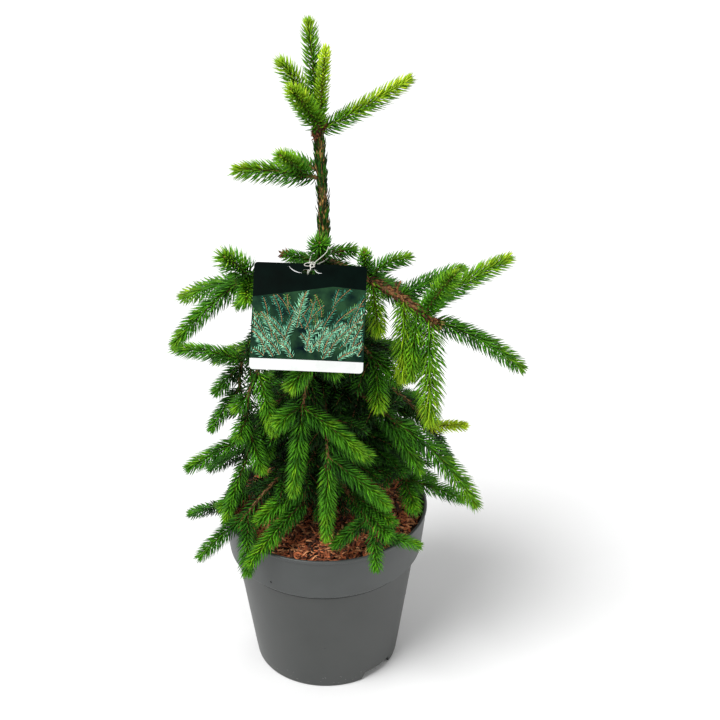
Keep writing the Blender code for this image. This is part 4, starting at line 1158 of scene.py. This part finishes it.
def add_fibre(heaps, rng):
    """A bent fibre or chip on the bed, unless it would touch the trunk or the pot."""
    radius = BED_RADIUS * math.sqrt(rng.uniform(0.012, 1))
    turn = rng.uniform(0, math.tau)
    x, y = radius * math.cos(turn), radius * math.sin(turn)
    length = rng.uniform(*FIBRE_LENGTH)
    way = turn * 0.6 + 2.5 * noise.noise(Vector((x, y, 2.0)) * 26) + rng.normal(0, 0.9)
    angles = way + rng.normal(0, 0.55) * (FIBRE_PLACES - 0.5)
    rise, level = rng.normal(0, 0.24), np.ones(len(angles))
    steps = np.column_stack((np.cos(angles), np.sin(angles), rise * level)) * length / len(angles)
    line = np.cumsum(steps, axis=0)
    line += (x, y, mulch_height(x, y) + rng.uniform(-0.0006, 0.0034)) - line.mean(0)
    reach = np.hypot(line[:, 0], line[:, 1])
    if reach.min() < min(FIBRE_SPACE) or reach.max() > max(FIBRE_SPACE):
        return
    line[:, 2] += 0.0008 * np.sin(FIBRE_PLACES * 6 + rng.uniform(0, 6))
    across = unit(np.column_stack((-np.sin(angles), np.cos(angles), rng.normal(0, 0.35) * level)))
    lift = unit(np.cross(steps, across))
    wide = rng.uniform(*FIBRE_HALF) * FIBRE_WIDTHS[:, None]
    rows = np.stack((line - across * wide, line + across * wide, line + lift * wide * 0.55), axis=1)
    heaps[rng.choice(4, p=FIBRE_SHARES)].add(rows, FIBRE_QUADS, FIBRE_CAPS)


def make_mulch(rng):
    make_bed()
    heaps = [Heap() for _ in FIBRE_TONES]
    for _ in range(FIBRES):
        add_fibre(heaps, rng)
    for tone, heap in zip(FIBRE_TONES, heaps):
        heap.piece("mulch_" + tone, "fibre_" + tone, "mulch")


# ---------------- label and its tie

HEADER_FOOT = ((-1.0, 0.0360), (-0.5, 0.0318), (0.0, 0.0270), (0.42, 0.0228), (1.0, 0.0250))
PICTURE_FOOT = 0.0996
FILM = 0.00012


def on_card(x, y, lift):
    """A place on the card: x across from its middle, y down from its top, lift out from its front face."""
    across, down, front = label_axes()
    bow = LABEL_BOW * (1 - (2 * x / LABEL_WIDTH) ** 2) + LABEL_THICKNESS / 2 + lift
    return LABEL_TOP + across * x + down * y + front * bow


def slab(columns, low, high):
    """A closed thin plate on the card. Each column is x, its top and its foot."""
    return loft([[on_card(x, y, lift) for y, lift in ((top, low), (foot, low), (foot, high), (top, high))]
                 for x, top, foot in columns])


def card_columns(half, top, foot):
    """Columns of a card with rounded corners where it ends at the label's own edges."""
    corner = [(LABEL_CORNER * (1 - math.cos(t)), LABEL_CORNER * (1 - math.sin(t)))
              for t in np.linspace(0, math.pi / 2, 7)]
    xs = [(-half + dx, dy) for dx, dy in corner]
    xs += [(-half + 2 * half * k / 24, 0.0) for k in range(2, 23)]
    xs += [(half - dx, dy) for dx, dy in reversed(corner)]
    return [(x, top + dy, foot(x, dy)) for x, dy in xs]


def slot_cutter():
    """The round-ended slot, through the card."""
    half, end = (SLOT_WIDTH - SLOT_HEIGHT) / 2, SLOT_HEIGHT / 2
    turns = [math.tau * (k + 0.5) / 20 for k in range(20)]
    xs = [math.copysign(half, math.cos(t)) + math.cos(t) * end for t in turns]
    ys = [SLOT_DROP + math.sin(t) * end for t in turns]
    return loft([[on_card(x, y, lift) for x, y in zip(xs, ys)] for lift in (-0.004, 0.004)])


def header_foot(x):
    """How far down the card the dark band reaches."""
    return interpolate(HEADER_FOOT, x / (LABEL_WIDTH / 2))


def make_label():
    half = LABEL_WIDTH / 2
    card = slab(card_columns(half, 0, lambda x, dy: LABEL_HEIGHT - dy), -LABEL_THICKNESS, 0)
    header = slab(card_columns(half, 0, lambda x, dy: header_foot(x)), -FILM, FILM)
    columns = [(x, header_foot(x), PICTURE_FOOT) for x in np.linspace(-half, half, 25)]
    for name, made, look in (("card_body", card, "card"), ("header", header, "header")):
        place_piece("label_" + name, cut(mesh_of(look, made), slot_cutter()), look, "card")
    place_piece("label_picture", mesh_of("picture", slab(columns, -FILM, FILM)), "picture", "card")
    make_fronds()
    make_crease_highlights()


# Fronds of the picture, laid on from the back to the front: the tone of their leaflets, how many there are,
# their lengths, their leaflets' reach, and the spread of the heights they start at in halves of the width.
FROND_LAYERS = (
    ("teal", 18, (0.026, 0.044), 0.0064, (0.70, 1.66)),
    ("leaf", 10, (0.024, 0.036), 0.0060, (0.80, 1.66)),
    ("teal", 12, (0.024, 0.036), 0.0064, (1.00, 1.66)),
    ("pale", 20, (0.026, 0.046), 0.0082, (1.00, 1.72)),
    ("pale", 14, (0.016, 0.028), 0.0076, (1.45, 1.74)),
)
LEAFLET_STEP = 0.0023
RIB_HALF = 0.00034
LEAFLET_HALF = 0.00040
RIB_LIFT = 0.00002
FROND_LIFT = 0.00002  # each frond lies this far over the last


def is_in_picture(x, y):
    return abs(x) < LABEL_WIDTH / 2 - 0.0008 and header_foot(x) + 0.0006 < y < PICTURE_FOOT - 0.0006


def add_frond(heaps, tone, place, turn, curl, size, widest, lift, rng):
    """One arching frond: a rib with leaflets that shorten to its tip. What leaves the picture is left out."""
    front = np.array(label_axes()[2])[None]
    count = round(size / LEAFLET_STEP)
    rows = []
    for n in range(count):
        share = n / count
        angle = math.radians(turn + curl * share)
        ahead = (place[0] + LEAFLET_STEP * math.cos(angle), place[1] - LEAFLET_STEP * math.sin(angle))
        rows.append(("rib", place, ahead))
        for side in (-1, 1):
            reach = widest * math.sin(math.pi * (0.16 + 0.80 * share)) ** 0.7 * rng.uniform(0.72, 1.15)
            way = angle + side * rng.uniform(0.62, 1.0)
            rows.append((tone, place, (place[0] + reach * math.cos(way), place[1] - reach * math.sin(way))))
        place = ahead
    for kind, a, b in rows:
        over, longer, wide = (RIB_LIFT, 1.25, RIB_HALF) if kind == "rib" else (0, 1, LEAFLET_HALF)
        if is_in_picture(*a) and is_in_picture(*b):
            start, end = (np.array(on_card(*place, lift + over)) for place in (a, b))
            length = float(np.linalg.norm(end - start)) * longer
            add_scales(heaps[kind], start[None], unit((end - start)[None]), front, length, wide, 0.06, 0.5)


def make_fronds():
    """The picture's design: plain arching fronds that overlap in a wide fan."""
    rng = np.random.default_rng(SEED + 2)
    heaps = {kind: Heap() for kind in ("rib", "pale", "teal", "leaf")}
    half, lift = LABEL_WIDTH / 2, FILM
    for tone, count, sizes, widest, heights in FROND_LAYERS:
        starts = rng.permutation(count)
        for k in range(count):
            lift += FROND_LIFT
            x = half * (-1.0 + 2.0 * (starts[k] + rng.uniform(0, 1)) / count)
            place = (x, half * rng.uniform(*heights))
            turn = 86 - 44 * x / half + rng.uniform(-26, 26)
            curl = rng.uniform(12, 40) * (-1 if turn < 90 else 1)
            add_frond(heaps, tone, place, turn, curl, rng.uniform(*sizes), widest, lift, rng)
    for kind, heap in heaps.items():
        heap.piece("label_frond_" + kind, "frond_" + kind, "card")


# Raised creases of the film beside the slot, pale as a painted highlight where they catch the light: points
# across and down the card.
CREASE_HIGHLIGHTS = (
    ((-0.0223, 0.0032), (-0.0200, 0.0058), (-0.0166, 0.0080), (-0.0125, 0.0094), (-0.0086, 0.0100)),
    ((0.0040, 0.0058), (0.0060, 0.0082), (0.0086, 0.0094), (0.0118, 0.0094)),
)


def make_crease_highlights():
    heap = Heap()
    for places in CREASE_HIGHLIGHTS:
        axis = axis_of([on_card(x, y, FILM) for x, y in places], 0.0008)
        share = np.linspace(0, 1, len(axis.points))
        # pale tubes: painted highlight along the raised creases
        add_tube(heap, axis, 0.00012 + 0.00034 * np.sin(np.pi * share), 6)
    heap.piece("label_crease_highlights", "crease_highlight", "card")


def tie_path():
    """A slack closed loop: round the back of the trunk, then through the card's slot and over its edge."""
    across, down, front = label_axes()
    card = LABEL_TOP + front * LABEL_BOW
    centre = trunk_axis(TIE_HEIGHT)
    clear = trunk_radius(TIE_HEIGHT) + TIE_RADIUS + GAP * 2
    slot_edge = SLOT_DROP - SLOT_HEIGHT / 2 + TIE_RADIUS + GAP
    behind = [centre + heading(azimuth, 0) * clear for azimuth in range(-20, 201, 20)]
    left = [centre + Vector(place) for place in ((-0.0105, -0.014, -0.0015), (-0.0135, -0.030, -0.004))]
    # Across, down and out from the card's top edge.
    on_edge = ((-0.003, slot_edge + 0.002, -0.012), (-0.0015, slot_edge + 0.0003, -0.0025),
               (-0.0008, slot_edge, 0), (0, slot_edge - 0.001, 0.0018), (0, 0.003, 0.0021),
               (0, 0.0004, 0.0019), (0.0006, -0.0012, 0.0004), (0.001, -0.0012, -0.0015),
               (0.002, -0.001, -0.006), (0.003, -0.0008, -0.014))
    right = [centre + Vector(place) for place in (
        (0.0030, -0.030, -0.0035), (0.0078, -0.0185, -0.0015), (0.0088, -0.0090, 0))]
    return behind + left + [card + across * a + down * d + front * f for a, d, f in on_edge] + right


def knot_place(t):
    """A place on the knot, a little coil of two turns on the card's front."""
    swell = 1 + 0.3 * math.cos(1.5 * t)
    return on_card(0.0014 + 0.0021 * math.cos(t) * swell, 0.0022 + 0.0017 * math.sin(t),
                   0.0014 + 0.0009 * math.sin(1.5 * t))


def loop_place(t):
    """A place on the loop that hangs from the knot."""
    drop = (1 - math.cos(t)) / 2
    aside = 0.0052 * math.sin(t) + 0.0040 * drop
    down = 0.0016 * math.sin(t) - 0.0028 * drop
    return on_card(0.001 - aside, 0.0022 + down, 0.0018 + 0.0010 * math.sin(t / 2))


def add_string(heap, path, radius):
    """Twisted two-strand string along a path."""
    axis = axis_of(path, 0.0006)
    turn = math.tau * np.arange(8) / 8
    place = np.linspace(0, axis.length, len(axis.points))
    radii = radius * (0.84 + 0.20 * np.abs(np.cos(turn[None] + place[:, None] * 1900)))
    add_tube(heap, axis, radii, 8)


TIE_END = ((0.0020, 0.0010, 0.0016), (0.0060, -0.0030, 0.0022), (0.0110, -0.0075, 0.0026),
           (0.0155, -0.0125, 0.0022), (0.0175, -0.0185, 0.0030))


def make_tie():
    heap = Heap()
    path = tie_path()
    add_string(heap, [*path, path[0] + (path[1] - path[0]) * 0.2], TIE_RADIUS)
    add_string(heap, [knot_place(math.tau * k / 28 * 2) for k in range(28)], TIE_RADIUS * 0.75)
    add_string(heap, [loop_place(t) for t in np.linspace(0.2, 5.9, 18)], TIE_RADIUS * 0.6)
    add_string(heap, [on_card(*place) for place in TIE_END], TIE_RADIUS * 0.62)
    heap.piece("label_string", "string", "tie")


# ---------------- looks

# Darkest and palest colour of each surface, its roughness, the size of its mottling and of its grain (per
# metre), the depth of the grain, and how much one needle, scale or fibre differs in brightness from the next.
Look = namedtuple("Look", "dark pale rough mottle grain depth apart shine", defaults=(0.0, 0.5))
NEEDLE = {"mottle": 70, "grain": 1500, "depth": 0.0001, "shine": 0.25}
FIBRE = {"mottle": 300, "grain": 1500, "depth": 0.0002}
FROND = {"rough": 0.50, "mottle": 300, "grain": 1800, "depth": 0.00002, "shine": 0.06}
LOOKS = {
    "shade": Look((0.004, 0.026, 0.0015), (0.013, 0.064, 0.0040), 0.60, **NEEDLE, apart=0.5),
    "mid": Look((0.022, 0.118, 0.0040), (0.046, 0.205, 0.0070), 0.58, **NEEDLE, apart=0.45),
    "fresh": Look((0.052, 0.220, 0.0055), (0.095, 0.340, 0.0090), 0.56, **NEEDLE, apart=0.42),
    "lime": Look((0.125, 0.330, 0.0060), (0.200, 0.470, 0.0100), 0.55, **NEEDLE, apart=0.38),
    "tip": Look((0.260, 0.470, 0.0090), (0.390, 0.620, 0.0160), 0.55, **NEEDLE, apart=0.35),
    # Bright lime of fresh shoots, paler than their own colour: partly painted light on shoots that sit in
    # shade.
    "glow_painted_light": Look((0.620, 0.880, 0.0280), (0.800, 0.960, 0.0550), 0.55, **NEEDLE, apart=0.35),
    "twig": Look((0.110, 0.050, 0.016), (0.330, 0.150, 0.050), 0.75, 220, 1200, 0.0002),
    "bark": Look((0.060, 0.032, 0.013), (0.260, 0.135, 0.050), 0.85, 160, 900, 0.0004, 0.5),
    "young": Look((0.100, 0.055, 0.014), (0.520, 0.280, 0.070), 0.70, 260, 900, 0.0003, 0.7),
    # Pegs of the bare bough: the darkest tone is painted shade, the shade seen between the pegs, mottled over
    # their own orange-brown.
    "shag": Look((0.045, 0.017, 0.006), (0.340, 0.135, 0.042), 0.75, 260, 900, 0.0003, 0.7),
    "scale": Look((0.070, 0.021, 0.008), (0.330, 0.105, 0.032), 0.65, 200, 1200, 0.0001, 0.6),
    "bud": Look((0.180, 0.110, 0.030), (0.380, 0.280, 0.070), 0.55, 400, 1500, 0.0001, 0.3),
    "pot": Look((0.038, 0.0415, 0.0395), (0.052, 0.0555, 0.053), 0.46, 14, 2600, 0.00004),
    # The collar is the body's plastic made lighter: painted light on the band under the rim.
    "collar": Look((0.048, 0.053, 0.052), (0.065, 0.071, 0.070), 0.44, 14, 2600, 0.00004),
    "spot": Look((0.012, 0.013, 0.013), (0.022, 0.024, 0.024), 0.40, 500, 2600, 0.00004),
    "scuff": Look((0.160, 0.170, 0.165), (0.300, 0.310, 0.300), 0.70, 500, 2600, 0.00004),
    "mulch": Look((0.006, 0.003, 0.002), (0.060, 0.018, 0.008), 0.95, 120, 700, 0.0010),
    "fibre_dark": Look((0.016, 0.006, 0.003), (0.070, 0.024, 0.010), 0.90, **FIBRE, apart=0.5),
    "fibre_rust": Look((0.290, 0.072, 0.024), (0.540, 0.155, 0.055), 0.85, **FIBRE, apart=0.5),
    "fibre_brown": Look((0.085, 0.024, 0.009), (0.200, 0.056, 0.020), 0.85, **FIBRE, apart=0.5),
    "fibre_tan": Look((0.500, 0.190, 0.075), (0.820, 0.370, 0.170), 0.80, **FIBRE, apart=0.4),
    "card": Look((0.700, 0.720, 0.705), (0.750, 0.765, 0.750), 0.28, 60, 1800, 0.00002),
    "header": Look((0.0003, 0.0024, 0.0016), (0.0008, 0.0050, 0.0034), 0.50, 60, 1800, 0.00002, 0.0, 0.03),
    "picture": Look((0.001, 0.006, 0.009), (0.020, 0.062, 0.026), 0.50, 60, 1800, 0.00002, 0.0, 0.02),
    # Painted highlight on the raised creases of the film.
    "crease_highlight": Look((0.700, 0.720, 0.710), (0.860, 0.870, 0.865), 0.40, 200, 1800, 0.00002),
    "frond_pale": Look((0.130, 0.500, 0.300), (0.420, 0.840, 0.560), **FROND, apart=0.5),
    "frond_teal": Look((0.020, 0.160, 0.105), (0.090, 0.380, 0.240), **FROND, apart=0.5),
    "frond_leaf": Look((0.070, 0.230, 0.050), (0.230, 0.460, 0.110), **FROND, apart=0.5),
    "frond_rib": Look((0.420, 0.190, 0.070), (0.700, 0.400, 0.180), **FROND, apart=0.3),
    "string": Look((0.560, 0.540, 0.480), (0.800, 0.790, 0.740), 0.85, 900, 3500, 0.0002),
    "floor": Look((0.860, 0.860, 0.860), (0.880, 0.880, 0.880), 0.85, 3, 300, 0.0001),
}
ROUGH_SPREAD = 0.05  # how far the roughness changes with the mottling, up and down
MOTTLE_STOPS = (0.34, 0.66)


def make_look(name, kind):
    """A procedural material: mottled, finely grained, and with a tone of its own for each island."""
    made = bpy.data.materials.new(name)
    made.use_nodes = True
    nodes, links = made.node_tree.nodes, made.node_tree.links

    def feed(node, inputs):
        for socket, value in inputs.items():
            if isinstance(value, bpy.types.NodeSocket):
                links.new(value, node.inputs[socket])
            else:
                node.inputs[socket].default_value = value
        return node

    def noise_of(scale, detail):
        place = nodes.new("ShaderNodeTexCoord").outputs["Object"]
        inputs = {"Vector": place, "Scale": scale, "Detail": detail}
        return feed(nodes.new("ShaderNodeTexNoise"), inputs).outputs["Fac"]

    def spread(source, low, high, to_low, to_high):
        inputs = {"Value": source, "From Min": low, "From Max": high, "To Min": to_low, "To Max": to_high}
        return feed(nodes.new("ShaderNodeMapRange"), inputs).outputs["Result"]

    mottle = noise_of(kind.mottle, 5)
    ramp = feed(nodes.new("ShaderNodeValToRGB"), {"Fac": mottle})
    for stop, place, colour in zip(ramp.color_ramp.elements, MOTTLE_STOPS, (kind.dark, kind.pale)):
        stop.position = place
        stop.color = (*colour, 1)
    colour = ramp.outputs["Color"]
    if kind.apart:
        alone = nodes.new("ShaderNodeNewGeometry").outputs["Random Per Island"]
        value = spread(alone, 0, 1, 1 - kind.apart, 1 + kind.apart)
        tint = feed(nodes.new("ShaderNodeHueSaturation"), {"Value": value, "Color": colour})
        colour = tint.outputs["Color"]
    rough = spread(mottle, 0.3, 0.7, kind.rough - ROUGH_SPREAD, min(1.0, kind.rough + ROUGH_SPREAD))
    grain = {"Strength": 0.6, "Distance": kind.depth, "Height": noise_of(kind.grain, 3)}
    bump = feed(nodes.new("ShaderNodeBump"), grain).outputs["Normal"]
    feed(nodes["Principled BSDF"], {
        "Base Color": colour, "Roughness": rough, "Normal": bump, "Specular IOR Level": kind.shine})
    return made


MATERIALS = {name: make_look(name, kind) for name, kind in LOOKS.items()}


# ---------------- floor, light and camera

CAMERA_PLACE = (0.041, -1.368, 1.143)
CAMERA_TILT = 61.44
CAMERA_LENS = 69.8
FLOOR_HALF = 6.0
FLOOR_LEVEL = -0.0002
# Name, place, size, watts: each shines at the middle of the crown.
LAMPS = (
    ("fill", (2.1, -1.6, 1.5), 1.8, 10),
    ("back", (0.5, 2.0, 2.2), 1.6, 8),
)
SUN_STRENGTH = 2.9
SUN_WIDTH = 34
SUN_TURN = (30, -14, -24)
LAMP_AIM = Vector((0.0, 0.0, 0.35))
SKY = 0.46


def make_stage():
    mesh = bpy.data.meshes.new("floor")
    corners = [(x * FLOOR_HALF, y * FLOOR_HALF, FLOOR_LEVEL) for x, y in ((-1, -1), (1, -1), (1, 1), (-1, 1))]
    mesh.from_pydata(corners, [], [(0, 1, 2, 3)])
    mesh.materials.append(MATERIALS["floor"])
    floor = put("floor", mesh)
    for name, place, size, watts in LAMPS:
        lamp = bpy.data.lights.new(name, "AREA")
        lamp.shape = "DISK"
        lamp.size = size
        lamp.energy = watts
        obj = put(name, lamp)
        obj.location = place
        obj.rotation_euler = (LAMP_AIM - Vector(place)).to_track_quat("-Z", "Y").to_euler()
    sun = bpy.data.lights.new("key", "SUN")
    sun.energy = SUN_STRENGTH
    sun.angle = math.radians(SUN_WIDTH)
    put("key", sun).rotation_euler = [math.radians(turn) for turn in SUN_TURN]
    world = bpy.data.worlds.new("studio")
    world.use_nodes = True
    background = world.node_tree.nodes["Background"]
    background.inputs["Color"].default_value = (1, 1, 1, 1)
    background.inputs["Strength"].default_value = SKY
    bpy.context.scene.world = world
    bpy.context.scene.view_settings.view_transform = "Standard"
    camera = put("camera", bpy.data.cameras.new("camera"))
    camera.data.lens = CAMERA_LENS
    camera.location = CAMERA_PLACE
    camera.rotation_euler = (math.radians(CAMERA_TILT), 0, 0)
    bpy.context.scene.camera = camera


def main():
    rng = np.random.default_rng(SEED)
    foliage = Foliage()
    make_pot()
    make_mulch(np.random.default_rng(SEED + 1))
    make_trunk(foliage, rng)
    make_limbs(foliage, rng)
    make_label()
    make_tie()
    make_stage()


main()
